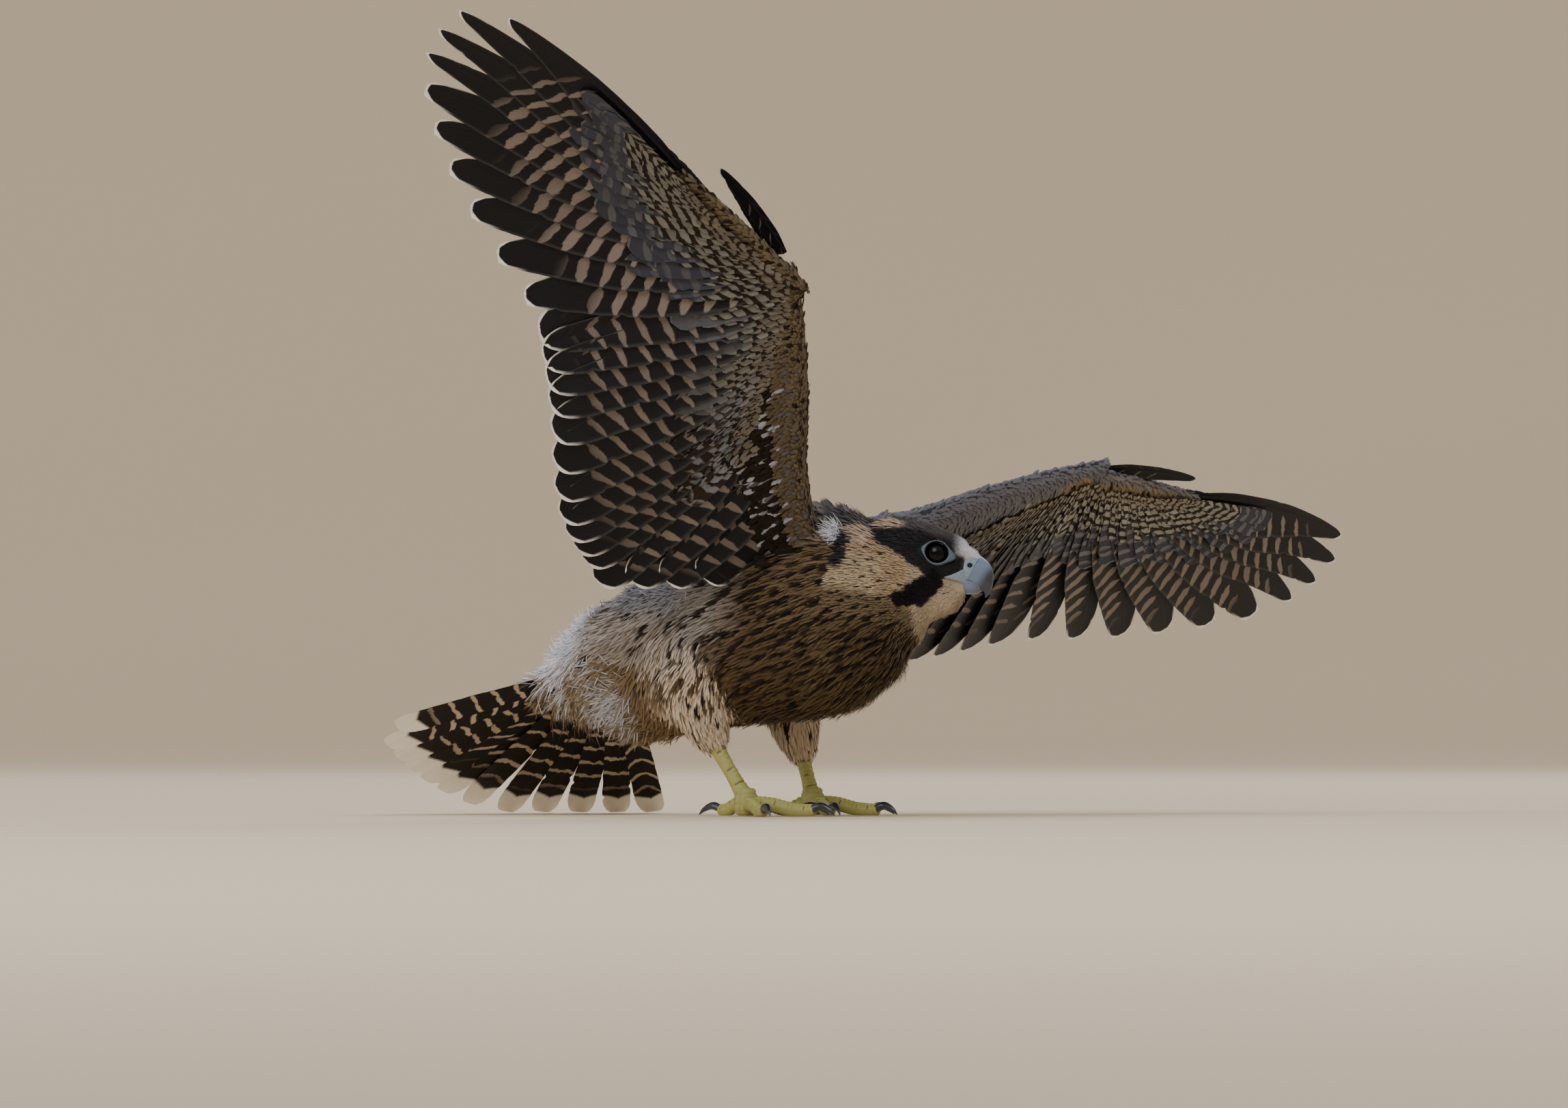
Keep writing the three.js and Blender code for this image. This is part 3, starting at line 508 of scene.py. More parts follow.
@dataclass(frozen=True)
class FlightFinish:
    """A big flight or tail feather: dark, with pale bars on its webs and a pale tip.

    "form" holds the number of bars, how much of each is pale and where they end; "lay" holds
    how far they reach over the outer web, their slant and a number of its own.

    Args:
        name: The finish's name.
        fringe: How pale the edge is towards the tip.
        tip: How far the pale tip reaches along the middle, as a share of the length.
        end: The share of the length over which the blade rounds off.
        seam: How pale the line along the whole edge is.
        wedge: How much further the pale tip reaches at the edges.
        shine: The shader's roughness.
        oval: How much the bars narrow at the shaft and the edge.
        phase: How far the bars differ from feather to feather.
    """

    name: str
    fringe: float = 0.5
    tip: float = 0.012
    end: float = 0.05
    seam: float = 0.0
    wedge: float = 0.0
    shine: float = 0.5
    oval: float = 1.0
    phase: float = 0.0

    def make(self) -> bpy.types.Material:
        """Builds the material.

        Returns:
            The material.
        """
        n = Nodes(self.name)
        across, along = n.vane()
        side = n.math("MULTIPLY_ADD", across, 2.0, -1.0)
        off = n.math("ABSOLUTE", side)
        bars, pale, last = n.numbers("form")
        outer_share, slant, own = n.numbers("lay")
        inner = n.step(-0.04, 0.04, side)
        fine = n.noise(n.point((along - off * 0.1) * 260.0, off * 2.0, own * 53.0), 1.0)
        cloud = n.noise(n.point(along * 9.0, side * 1.5, own * 31.0), 1.0)
        frayed = (fine - 0.5) * 0.012
        # A pale bar is an oval across the inner web: broad in its middle, narrow at the shaft and the edge.
        place = along + off * slant + ((cloud - 0.5) * 0.05 + frayed)
        middle = n.math("ABSOLUTE", n.math("FRACT", place * bars + own * self.phase) - 0.5)
        thin = 1.0 - n.step(0.04, 0.42, off) * (1.0 - n.step(0.7, 1.05, off) * 0.55)
        bar = n.step(0.0, 0.07, pale * 0.5 * (1.0 - thin * self.oval) - middle)
        web = n.math("ADD", inner, (1.0 - inner) * outer_share, clamp=True)
        inside = n.step(last, last - 0.12, place) * n.step(1.02, 0.94, off)
        colour = n.blend(bar * web * inside, n.attribute("ground"), n.attribute("mark"))
        # The pale tip follows the round end of the blade: its inner line is an oval over width and length.
        past = n.math("DIVIDE", along - (1.0 - self.end), self.end, clamp=True)
        ring = n.step(0.9, 1.0, n.math("SQRT", off * off + past * past) + frayed)
        ring = ring * n.step(1.0 - self.end, 1.0 - self.end * 0.6, along)
        cap = n.step(1.0 - self.tip * 1.15, 1.0 - self.tip * 0.92, along + off * self.wedge + frayed)
        edge = n.step(0.86, 0.97, off) * n.step(0.87, 0.96, along) * self.fringe
        line = n.math("MAXIMUM", n.step(0.88, 0.98, off) * self.seam, edge)
        pale_edge = n.math("MAXIMUM", n.math("MAXIMUM", cap, ring), line, clamp=True)
        colour = n.blend(pale_edge, colour, n.attribute("fringe"))
        colour = n.shaded(colour, 0.8 + (fine + cloud * 0.6) * 0.26)
        n.bump(fine, 0.3, 0.0004)
        return n.surface(colour, self.shine, specular_ior_level=0.18)


@dataclass(frozen=True)
class PaintedFinish:
    """A surface that takes its colour from the mesh, broken up by fine noise."""

    name: str
    roughness: float
    grain: float
    depth: float = 0.0003
    coat: float = 0.0
    vary: float = 0.3

    def make(self) -> bpy.types.Material:
        """Builds the material.

        Returns:
            The material.
        """
        n = Nodes(self.name)
        grain = n.noise(n.place(), self.grain, 5.0)
        colour = n.shaded(n.attribute("ground"), 1.0 - self.vary / 2 + grain * self.vary)
        n.bump(grain, 0.35, self.depth)
        return n.surface(colour, self.roughness, coat_weight=self.coat, coat_roughness=0.08)


@dataclass(frozen=True)
class EyeFinish:
    """A dark wet eye: a black pupil in a deep brown iris. Its places are in metres."""

    name: str
    middle: tuple
    axis: tuple
    pupil: float = 0.0030
    black: tuple = (0.001, 0.001, 0.001, 1)
    iris: tuple = ((0.001, 0.0008, 0.0008, 1), (0.003, 0.002, 0.0015, 1))

    def make(self) -> bpy.types.Material:
        """Builds the material.

        Returns:
            The material.
        """
        n = Nodes(self.name)
        place = n.place()
        reach = place
        for operation, other in (("SUBTRACT", self.middle), ("CROSS_PRODUCT", self.axis)):
            reach = Amount(n, n.put("ShaderNodeVectorMath", reach, other, operation=operation).outputs[0])
        reach = Amount(n, n.put("ShaderNodeVectorMath", reach, operation="LENGTH").outputs["Value"])
        iris = n.blend(n.noise(place, 2600.0, 3.0), *self.iris)
        colour = n.blend(n.step(self.pupil, self.pupil * 1.12, reach), self.black, iris)
        return n.surface(colour, 0.04, specular_ior_level=0.22)


@dataclass(frozen=True)
class StageFinish:
    """A matt studio surface."""

    name: str
    colour: tuple

    def make(self) -> bpy.types.Material:
        """Builds the material.

        Returns:
            The material.
        """
        n = Nodes(self.name)
        dark = tuple(c * 0.97 for c in self.colour)
        soft = n.blend(n.noise(n.place(), 0.8, 1.0), (*dark, 1), (*self.colour, 1))
        return n.surface(soft, 0.9, specular_ior_level=0.1)


# Feathers in bulk


@dataclass(frozen=True)
class Leaf:
    """The outline of a small feather, cut from a few faces.

    Args:
        rows: Shares of the length at which the outline has points.
        widths: Half width at each row, as a share of the full half width.
        fold: How far the edges lie below the shaft, as a share of the half width.
        barbs: How many pointed ends the tip is split into.
    """

    rows: tuple
    widths: tuple
    fold: float = 0.25
    barbs: int = 0

    def make(self) -> tuple:
        """Lays out the points and triangles.

        Returns:
            Points (across from -1 to 1, along from 0 to 1, height) and triangles.
        """
        columns = (-1, 0, 1) if self.fold else (-1, 1)
        points = [(k * w, y, -self.fold * w * abs(k))
                  for y, w in zip(self.rows, self.widths) for k in columns]
        per = len(columns)
        last = len(points) - per
        faces = []
        for a in range(0, last, per):
            for k in range(a, a + per - 1):
                faces += [(k, k + 1, k + per + 1), (k, k + per + 1, k + per)]
        y, w = self.rows[-1], self.widths[-1]
        if self.barbs == 0:
            points.append((0.0, 1.0, 0.0))
            faces += [(last + k, last + k + 1, len(points) - 1) for k in range(per - 1)]
        for k in range(self.barbs):
            left = -w + 2 * w * k / self.barbs
            right = -w + 2 * w * (k + 1) / self.barbs
            centre = (left + right) / 2
            # The middle barbs reach furthest, and every other one falls short.
            far = y + (1.0 - y) * (1.0 - 0.55 * (centre / w) ** 2) * (1.0 if k % 2 else 0.78)
            faces.append((len(points), len(points) + 1, len(points) + 2))
            points += [(across, place, -self.fold * abs(at)) for across, place, at in
                       ((left, y, left), (right, y, right), (centre * 1.15, far, centre))]
        return np.array(points, dtype=float), np.array(faces)


CONTOUR = Leaf((0.0, 0.3, 0.6, 0.82), (0.25, 0.85, 1.0, 0.72), 0.2, 5)
SCALE = Leaf((0.0, 0.35, 0.7, 0.9), (0.4, 0.95, 1.0, 0.62), 0.12)
HAIR = Leaf((0.0, 0.45, 0.78), (0.5, 1.0, 0.8), 0.0, 3)


@dataclass
class Plumes:
    """Feathers of one template, with what each is coloured by. Every field has a row per feather."""

    root: Array
    along: Array
    side: Array
    normal: Array
    length: Array
    width: Array
    lift: Array
    bend: Array
    ground: Array
    fringe: Array
    form: Array
    lay: Array


class FeatherMesh:
    """Gathers feathers into one mesh with its maps and colours."""

    def __init__(self, name: str) -> None:
        """Starts empty, with the piece's name."""
        self.name = name
        self.points, self.faces, self.vane, self.bake = [], [], [], []
        self.values = {}
        self.count = 0

    def add_leaves(self, leaf: Leaf, plumes: Plumes, roots_on_map: Array, patch: float) -> None:
        """Adds one small feather for each row of plumes.

        Args:
            leaf: The template.
            plumes: Where each goes and how it is coloured.
            roots_on_map: The middle of each feather's patch on the bake map.
            patch: The size of the patch.
        """
        shape, faces = leaf.make()
        n, per = len(plumes.root), len(shape)
        x, y, h = (shape[:, k][None, :, None] for k in range(3))
        length, width = (value[:, None, None] for value in (plumes.length, plumes.width))
        lift, bend = (value[:, None, None] for value in (plumes.lift, plumes.bend))
        grid = plumes.root[:, None] + plumes.along[:, None] * (length * y)
        grid = grid + plumes.side[:, None] * (width * x)
        grid = grid + plumes.normal[:, None] * (length * (lift * y + bend * y * y) + width * h)
        vane = np.tile(np.stack([shape[:, 0] * 0.5 + 0.5, shape[:, 1]], axis=1), (n, 1, 1))
        bake = np.clip(roots_on_map[:, None] + (vane - 0.5) * patch, 0.0, 1.0)
        steps = (np.arange(n) * per)[:, None, None]
        values = {key: np.repeat(getattr(plumes, key), per, axis=0)
                  for key in ("ground", "fringe", "form", "lay")}
        self.add_sheet(grid.reshape(-1, 3), (faces[None] + steps).reshape(-1, 3), vane.reshape(-1, 2),
                       bake.reshape(-1, 2), values)

    def add_sheet(self, grid: Array, faces: Array, vane: Array, bake: Array, values: dict) -> None:
        """Adds a block of points and triangles.

        Args:
            grid: The points.
            faces: The triangles, numbered from the block's first point.
            vane: The place of each point on its feather.
            bake: The place of each point on the bake map.
            values: Colours and marks by name, a row for each point or one for all of them.
        """
        self.points.append(grid)
        self.faces.append(faces + self.count)
        self.vane.append(vane)
        self.bake.append(bake)
        for key, rows in values.items():
            self.values.setdefault(key, []).append(np.broadcast_to(rows, (len(grid), 3)))
        self.count += len(grid)

    def make(self, material: bpy.types.Material) -> bpy.types.Object:
        """Builds the object.

        Args:
            material: Its finish.

        Returns:
            The new object, at the origin.
        """
        points = to_row(np.concatenate(self.points)).astype(np.float32)
        faces = np.concatenate(self.faces).astype(np.int32)
        mesh = bpy.data.meshes.new(self.name)
        mesh.vertices.add(len(points))
        mesh.vertices.foreach_set("co", points.ravel())
        mesh.loops.add(faces.size)
        mesh.loops.foreach_set("vertex_index", faces.ravel())
        mesh.polygons.add(len(faces))
        mesh.polygons.foreach_set("loop_start", np.arange(0, faces.size, 3, dtype=np.int32))
        mesh.update(calc_edges=True)
        for map_name, rows in (("OFBake", self.bake), ("vane", self.vane)):
            layer = mesh.uv_layers.new(name=map_name)
            layer.data.foreach_set("uv", np.concatenate(rows)[faces.ravel()].astype(np.float32).ravel())
        for key, rows in self.values.items():
            paint_points(mesh, key, np.concatenate(rows))
        mesh.materials.append(material)
        return link(self.name, mesh)


# Colours


def shade(red: int, green: int, blue: int) -> Array:
    """A colour given as on a screen, from 0 to 255, as amounts of light."""
    share = np.array([red, green, blue]) / 255
    return np.where(share <= 0.04045, share / 12.92, ((share + 0.055) / 1.055) ** 2.4)


# Painted shade: the breast's and belly's buff are darkened beyond their own colour, as the lower side lies
# in shade.
BUFF_WITH_PAINTED_SHADE = shade(92, 77, 57)
BELLY_WITH_PAINTED_SHADE = shade(90, 73, 52)
FLANK = shade(204, 194, 188)
STREAK = shade(38, 29, 23)
CREAM = shade(198, 178, 150)
THROAT = shade(190, 174, 154)
CHEEK = shade(172, 147, 117)
RUFOUS = shade(200, 174, 150)
CAP = shade(80, 74, 73)
MASK = shade(36, 35, 39)
MANTLE = shade(52, 50, 56)
MANTLE_EDGE = shade(112, 99, 92)
WHITE_DOWN = shade(240, 242, 252)
GREY_DOWN = shade(132, 133, 142)
TROUSERS = shade(206, 187, 166)
VENT = shade(136, 114, 86)
FLIGHT = shade(21, 20, 24)
FLIGHT_BAR = shade(128, 117, 110)
FLIGHT_EDGE = shade(250, 248, 244)
COVERT = shade(58, 60, 72)
COVERT_BAR = shade(118, 119, 128)
LESSER = shade(146, 144, 138)
LEADING = shade(122, 108, 88)
SLATE = shade(60, 61, 72)
SLATE_EDGE = shade(134, 134, 142)
TAIL = shade(34, 28, 25)
TAIL_BAR = shade(190, 172, 152)
TAIL_TIP = shade(255, 250, 240)
BILL = shade(110, 128, 154)
BILL_TIP = shade(50, 54, 64)
CERE = shade(132, 150, 168)
LID = shade(84, 102, 116)
SCALE_SKIN = shade(172, 168, 98)
SCALE_SEAM = shade(92, 88, 46)
CLAW = shade(40, 46, 58)

# Painted shade: the colours of the right wing's lower side are darkened by this share, as it lies in shade.
RIGHT_UNDER_PAINTED_SHADE = 0.62


# The flesh under the plumage


@dataclass(frozen=True)
class Stations:
    """A stretch of the body: rows of [x, y, z, wide, up, down] with rings between them."""

    rows: tuple
    bank: float = 0.0

    def rings(self, per: int, count: int) -> tuple:
        """Rings along the stretch.

        Args:
            per: Rings to each station.
            count: Points to each ring.

        Returns:
            The rings, and the forward direction at each.
        """
        rows = np.array(self.rows, dtype=float)
        path, sizes = Spline(rows[:, :3]), Spline(rows[:, 3:])
        steps = (len(rows) - 1) * per
        rings, ways = [], []
        for k in range(steps + 1):
            forward = path.tangent(k / steps)
            sideways = turned(square_to(LEFTWARD, forward), forward, -self.bank)
            upwards = unit(np.cross(forward, sideways))
            rings.append(oval(path.at(k / steps), sideways, upwards, tuple(sizes.at(k / steps)), count))
            ways.append(forward)
        return rings, ways


TRUNK = Stations(
    (
        (-149, 19.6, 61, 28, 3, 5),
        (-134, 17, 69, 28, 11, 20),
        (-118, 14, 77.5, 30, 21, 36),
        (-100, 12, 85, 35, 28, 48),
        (-76, 12, 91, 40, 34, 50),
        (-44, 12, 98, 45, 43, 52),
        (-10, 12, 104, 48, 53, 56),
        (22, 13, 110, 46, 57, 59),
        (46, 18, 117, 38, 48, 52),
        (64, 26, 121, 26, 26, 40),
        (79, 33, 120, 14, 6, 26),
        (91, 38, 113, 7, 4, 7),
    ),
    bank=18,
)
THIGHS = {
    Side.RIGHT: Stations(
        (
            (-40, -8, 94, 20, 28, 26),
            (-41, -17, 76, 18, 24, 24),
            (-37, -16, 54, 13, 17, 16),
            (-32, -13, 38, 7, 9, 9),
        )
    ),
    Side.LEFT: Stations(
        (
            (-26, 30, 88, 19, 24, 24),
            (-22, 42, 64, 16, 19, 19),
            (-18, 45, 45, 12, 13, 13),
            (-15, 46, 32, 7, 8, 8),
        )
    ),
}


@dataclass(frozen=True)
class Head:
    """The head's own frame, its stations and where its parts sit, as [forward, left, up]."""

    yaw: float = 25.0
    pitch: float = -12.0
    roll: float = 14.0
    stations: tuple = (
        (-24, 0, 1, 9, 10, 10),
        (-17, 0, 1, 17.5, 17.5, 17),
        (-6, 0, 1, 20.5, 21.5, 20),
        (6, 0, 1, 20.2, 21.6, 21.5),
        (17, 0, 0.5, 17.6, 20.6, 21.5),
        (26, 0, 0, 13.6, 19.2, 22),
        (33, 0, -0.5, 9.6, 16.4, 17.5),
        (36.2, 0, 0, 5.6, 11.4, 11),
    )
    bill_root: tuple = (45.0, 0.0, -2.0)
    brow: tuple = (
        (27, 9.6, 9.4, 6.4), (33, 9.8, 8.4, 5.2), (37, 9.5, 6.9, 4.2), (40.4, 8.8, 5.2, 3.2),
        (42.6, 7.8, 3.0, 1.8),
    )
    centre: tuple = (60.3, 26.1, 134.6)

    def forehead(self) -> tuple:
        """The pad over the cere that the forehead's feathers grow on."""
        return loft([self.on(oval(vec(f, 0, u), LEFTWARD, UPWARD, (wide, tall, tall), RING))
                     for f, u, wide, tall in self.brow])

    @property
    def forward(self) -> Array:
        """The way the bill points."""
        yaw, pitch = math.radians(self.yaw), math.radians(self.pitch)
        return vec(math.cos(yaw) * math.cos(pitch), math.sin(yaw) * math.cos(pitch), math.sin(pitch))

    @property
    def left(self) -> Array:
        """The head's own left."""
        level = square_to(np.cross(UPWARD, self.forward), self.forward)
        return turned(level, self.forward, -self.roll)

    @property
    def axes(self) -> Array:
        """Forward, left and up as the rows of a matrix."""
        return np.stack([self.forward, self.left, unit(np.cross(self.forward, self.left))])

    def on(self, points: Array) -> Array:
        """Points given as [forward, left, up], in the bird's frame."""
        return self.centre + np.asarray(points, dtype=float) @ self.axes

    def of(self, points: Array) -> Array:
        """Points of the bird's frame as [forward, left, up]."""
        return (points - self.centre) @ self.axes.T

    def lie(self, points: Array) -> tuple:
        """The way feathers run on the head: away from the bill, then back and down.

        Args:
            points: Places in the bird's frame.

        Returns:
            The way at each place, and how far the place belongs to the head, from 0 to 1.
        """
        local = self.of(points)
        away = unit(local - np.array(self.bill_root))
        share = smooth(24, -6, local[:, 0])[:, None]
        way = unit(away * (1 - share) + unit(vec(-1, 0, -0.4)) * share) @ self.axes
        return way, smooth(-33, -24, local[:, 0]) * smooth(-44, -35, local[:, 2])

    def depth(self, points: Array) -> Array:
        """How deep the coat is at places on the head."""
        return 0.8 + 1.6 * smooth(26, -16, self.of(points)[:, 0])

    def side(self, x: float, z: float) -> float:
        """How far out the side of the head lies at a place on it."""
        rows = np.array(self.stations)
        middle, wide, up, down = (np.interp(x, rows[:, 0], rows[:, k]) for k in (2, 3, 4, 5))
        height = z - middle
        reach = up if height > 0 else down
        return wide * math.sqrt(max(0.05, 1 - (height / reach) ** 2))

    def rings(self, per: int, count: int) -> tuple:
        """Rings from the back of the head to the bill, and the way each faces."""
        rings, ways = Stations(self.stations).rings(per, count)
        return [self.on(ring) for ring in rings], [way @ self.axes for way in ways]


HEAD = Head()


def rounded_off(base: tuple, full: float, power: float) -> tuple:
    """An outline with a round tip.

    Args:
        base: Shares of the length and of the width towards the root.
        full: The share of the length where the tip starts to round off.
        power: How blunt the tip is.

    Returns:
        The whole outline.
    """
    turns = np.linspace(0, math.pi / 2, 9)
    tip = tuple((full + (1 - full) * math.sin(a), max(0.06, math.cos(a) ** power)) for a in turns)
    return (*base, *tip)


BROAD = rounded_off(((0, 0.35), (0.2, 0.85), (0.45, 1)), 0.7, 0.6)
BLUNT = rounded_off(((0, 0.35), (0.2, 0.85), (0.5, 1), (0.7, 1)), 0.82, 0.66)
POINTED = (
    (0, 0.35), (0.2, 0.85), (0.46, 1), (0.7, 0.8), (0.88, 0.56), (0.955, 0.4), (0.985, 0.24), (1, 0.05),
)
ROUNDED = ((0, 0.5), (0.3, 0.9), (0.7, 1), (0.9, 0.8), (1, 0.2))
TAIL_OUTLINE = rounded_off(((0, 0.3), (0.2, 0.66), (0.5, 0.86), (0.75, 0.97)), 0.87, 0.6)
LAST_PLACE = 21
FIRST_SECONDARY = 10
ARM_PLACES = 11
HAND_SHARE = 0.94
GUIDE_SECTION = ((0.0, 0.0), (0.1, 0.38), (0.3, 0.48), (0.55, 0.44), (0.8, 0.28), (1, 0.06))
# The section of a wing's flesh, as [share of the chord, height].
FLESH_SECTION = (
    (0, 0), (0.12, 0.42), (0.4, 0.5), (0.75, 0.32), (1, 0.06),
    (1, -0.06), (0.75, -0.32), (0.4, -0.5), (0.12, -0.42),
)
# Reach to the leading and the trailing edge, and thickness.
ARM_REACH = (
    ((-0.22, 12), (-0.08, 9), (0.05, 3), (0.25, 3), (0.5, 8.5), (0.8, 10.5), (1, 10)),
    ((-0.22, 30), (0, 32), (0.5, 12), (1, 12)),
    ((-0.22, 30), (-0.05, 26), (0.2, 15), (0.5, 11), (1, 7.5)),
)
HAND_SIZES = ((-0.12, 1), (0, 1), (0.3, 0.95), (0.6, 0.8), (0.9, 0.62), (1.12, 0.35))
HAND_REACH = (10.5, 12.0, 7.5)


@dataclass
class Vane:
    """One big feather: a curved blade with a shaft, an inner web and an outer web.

    Args:
        root: Where the shaft starts.
        along: The way it runs.
        inward: The side of the wide inner web.
        under: The side that faces down in flight.
        length: Root to tip.
        inner: Width of the inner web.
        outer: Width of the outer web.
        outline: Share of the full width at shares of the length.
        bow: How far the shaft curves in its own plane.
        tilt: How far the blade is turned about its shaft, in degrees.
        cup: How far the webs curl down, as a share of their width.
        shaft: How thick the shaft is.
        ragged: How deep the gaps between the barbs cut into the edges.
        taper: How much of the inner web is lost towards the tip.
        rows: Points along the blade.
        columns: Where the points across it lie, from the outer edge at -1 to the inner at 1.
    """

    root: Array
    along: Array
    inward: Array
    under: Array
    length: float
    inner: float
    outer: float
    outline: tuple = BROAD
    bow: float = 3.0
    tilt: float = 6.0
    cup: float = 0.12
    shaft: float = 1.0
    ragged: float = 0.035
    taper: float = 0.0
    rows: int = 44
    columns: tuple = (-1, -0.8, -0.5, -0.12, -0.05, 0, 0.05, 0.12, 0.5, 0.8, 1)

    def grid(self, rng: np.random.Generator) -> tuple:
        """Lays out both faces of the blade.

        Args:
            rng: Draws the gaps in its edges.

        Returns:
            Points, triangles and their place on the blade (across and along, from 0 to 1).
        """
        side0 = square_to(self.inward, self.along)
        under0 = square_to(square_to(self.under, self.along), side0)
        angle = math.radians(self.tilt)
        side = side0 * math.cos(angle) + under0 * math.sin(angle)
        flat = under0 * math.cos(angle) - side0 * math.sin(angle)
        t = 1 - (1 - np.linspace(0, 1, self.rows)) ** 1.45
        arch = 4 * t * (1 - t)
        middle = self.root + np.outer(self.length * t, self.along) - np.outer(self.bow * arch, side0)
        share = through(self.outline, t)
        outer_share = np.minimum(1.0, share * 1.1)
        inner_share = share * (1 - self.taper * smooth(0.45, 1.0, t))
        faces, points, vane = [], [], []
        inner_notches, outer_notches = self._notches(rng), self._notches(rng)
        for face in (1, -1):
            start = len(points) * self.rows
            for x in self.columns:
                width = self.outer * outer_share * outer_notches
                if x > 0:
                    width = self.inner * inner_share * inner_notches
                ridge = 0.5 * self.shaft * max(0.0, 1 - abs(x) / 0.1) * (1.15 - t)
                drop = self.cup * width * x * x * min(1.0, abs(x) * 3)
                height = drop + face * (0.1 + ridge)
                points.append(middle + np.outer(x * width, side) + np.outer(height, flat))
                vane.append(np.stack([np.full(self.rows, x * 0.5 + 0.5), t], axis=1))
            faces.append(self._face(start, face))
        return np.concatenate(points), np.concatenate(faces), np.concatenate(vane)

    def _notches(self, rng: np.random.Generator) -> Array:
        """Shares of the width at each row, lower where the barbs have parted."""
        edge = 1 - self.ragged * rng.random(self.rows) * np.linspace(1.2, 0.3, self.rows)
        for _ in range(rng.integers(0, 3)):
            edge[rng.integers(int(self.rows * 0.3), int(self.rows * 0.82))] *= 1 - self.ragged * 2
        return edge

    def _face(self, start: int, face: int) -> Array:
        """Triangles of one face of the blade, from its first point on, pointing out."""
        column, row = np.meshgrid(np.arange(len(self.columns) - 1), np.arange(self.rows - 1), indexing="ij")
        a = (start + column * self.rows + row).ravel()
        b = a + self.rows
        c, d = b + 1, a + 1
        pair = np.concatenate([np.stack([a, b, c], 1), np.stack([a, c, d], 1)])
        turn = np.dot(np.cross(square_to(self.inward, self.along), self.along), self.under)
        return pair if turn * face > 0 else pair[:, ::-1]


@dataclass
class Wing:
    """A raised wing: its joints, its flesh and the spread of its feathers."""

    side: Side
    shoulder: Array
    elbow: Array
    wrist: Array
    hand_end: Array
    under_arm: Array
    under_hand: Array
    spread: tuple
    outermost_shorter: float
    lead_share: float
    thumb: Array
    alula_run: Array
    backward: Array = field(default_factory=lambda: vec(-1, 0, -0.3))

    def __post_init__(self) -> None:
        """Works out the directions that the flesh and feathers are laid out by."""
        self.arm = unit(self.wrist - self.shoulder)
        self.hand = unit(self.hand_end - self.wrist)
        self.under_arm = square_to(self.under_arm, self.arm)
        self.under_hand = square_to(self.under_hand, self.hand)
        self.arm_trail = self._back(self.arm, self.under_arm)
        self.hand_trail = self._back(self.hand, self.under_hand)
        self.curve = Spline([row[1:] for row in self.spread])

    def _back(self, way: Array, under: Array) -> Array:
        """The direction to the trailing edge."""
        trail = unit(np.cross(way, under))
        return trail if np.dot(trail, self.backward) > 0 else -trail

    def run(self, place: float) -> Array:
        """From root to tip of the feather at a place along the wing."""
        keys = [row[0] for row in self.spread]
        place = min(place, LAST_PLACE)
        nxt = max(1, next(i for i, key in enumerate(keys) if key >= place))
        share = (place - keys[nxt - 1]) / (keys[nxt] - keys[nxt - 1])
        return self.curve.at((nxt - 1 + share) / (len(keys) - 1))

    def root(self, place: float) -> Array:
        """Where the feather at a place is rooted."""
        if place < FIRST_SECONDARY - 0.5:
            return mix(self.hand_end, self.wrist, HAND_SHARE * place / (FIRST_SECONDARY - 1))
        inner = max(0.0, (place - FIRST_SECONDARY + 0.7) / ARM_PLACES)
        if inner <= 1:
            return mix(self.wrist, self.elbow, inner)
        return mix(self.elbow, self.shoulder, (inner - 1) * 2.2) + self.arm_trail * 5

    def row(self, place: float) -> Array:
        """The direction along the row of feathers, towards the body."""
        place = min(place, LAST_PLACE)
        near, far = max(0.0, place - 1), min(LAST_PLACE, place + 1)
        far = max(far, near + 0.5)
        return unit(self.root(far) + self.run(far) / 2 - self.root(near) - self.run(near) / 2)

    def directions(self, place: float) -> tuple:
        """Along, inward and under at a place."""
        along = unit(self.run(place))
        inward = square_to(self.row(place), along)
        under = np.cross(along, inward)
        down = self.under_hand if place < FIRST_SECONDARY else self.under_arm
        return along, inward, under if np.dot(under, down) > 0 else -under

    def flight(self, place: int, share: float = 1.0) -> Vane:
        """The flight feather at a place.

        Args:
            place: The place along the wing.
            share: How much of the full length the feather has.

        Returns:
            Its shape.
        """
        along, inward, under = self.directions(place)
        outward = max(0, 6 - place)
        length = np.linalg.norm(self.run(place)) - (self.outermost_shorter if place == 0 else 0)
        vane = Vane(self.root(place), along, inward, under, length * share, 22, 10, bow=4, taper=0.25)
        if place < FIRST_SECONDARY:
            vane.inner, vane.outer = 21 - 0.6 * max(0, outward - 2), 7 - 0.45 * outward
            vane.outline = POINTED if place < 4 else BROAD
            vane.bow, vane.taper = 4 + 0.5 * max(0, 4 - place), 0.42
        elif self.side is Side.RIGHT:
            vane.outline = BLUNT
        return vane

    def covert(self, place: float, row: "CovertRow", face: Face) -> Vane:
        """The covert of a row over the feather at a place.

        Args:
            place: The place along the wing.
            row: The row.
            face: The face of the wing that it lies on.

        Returns:
            Its shape.
        """
        along, inward, under = self.directions(place)
        out = under * face.value
        hand = 1 - float(smooth(8, 12, place))
        reach = np.linalg.norm(self.run(min(place, 19.0))) * (row.reach + row.further * hand)
        outward = max(0.0, 4 - place)
        tip = self.root(place) + along * reach + out * row.tip_lift
        way = unit(along * row.length - out * (row.root_lift - row.tip_lift))
        wide = row.wide * (1 - 0.09 * outward)
        return Vane(
            tip - way * row.length, way, inward, under, row.length,
            inner=wide, outer=wide * 0.9, outline=ROUNDED, bow=1, tilt=3, cup=0.16 * face.value, shaft=0.5,
            ragged=0.06, rows=10, columns=(-1, -0.6, 0, 0.6, 1),
        )

    def bone(self, t: float) -> Array:
        """The bones of the arm at a share from the shoulder to the wrist."""
        if t < 0:
            return self.shoulder + (self.wrist - self.shoulder) * t
        half = (self.shoulder, self.elbow) if t < 0.5 else (self.elbow, self.wrist)
        return mix(*half, t * 2 if t < 0.5 else t * 2 - 1)

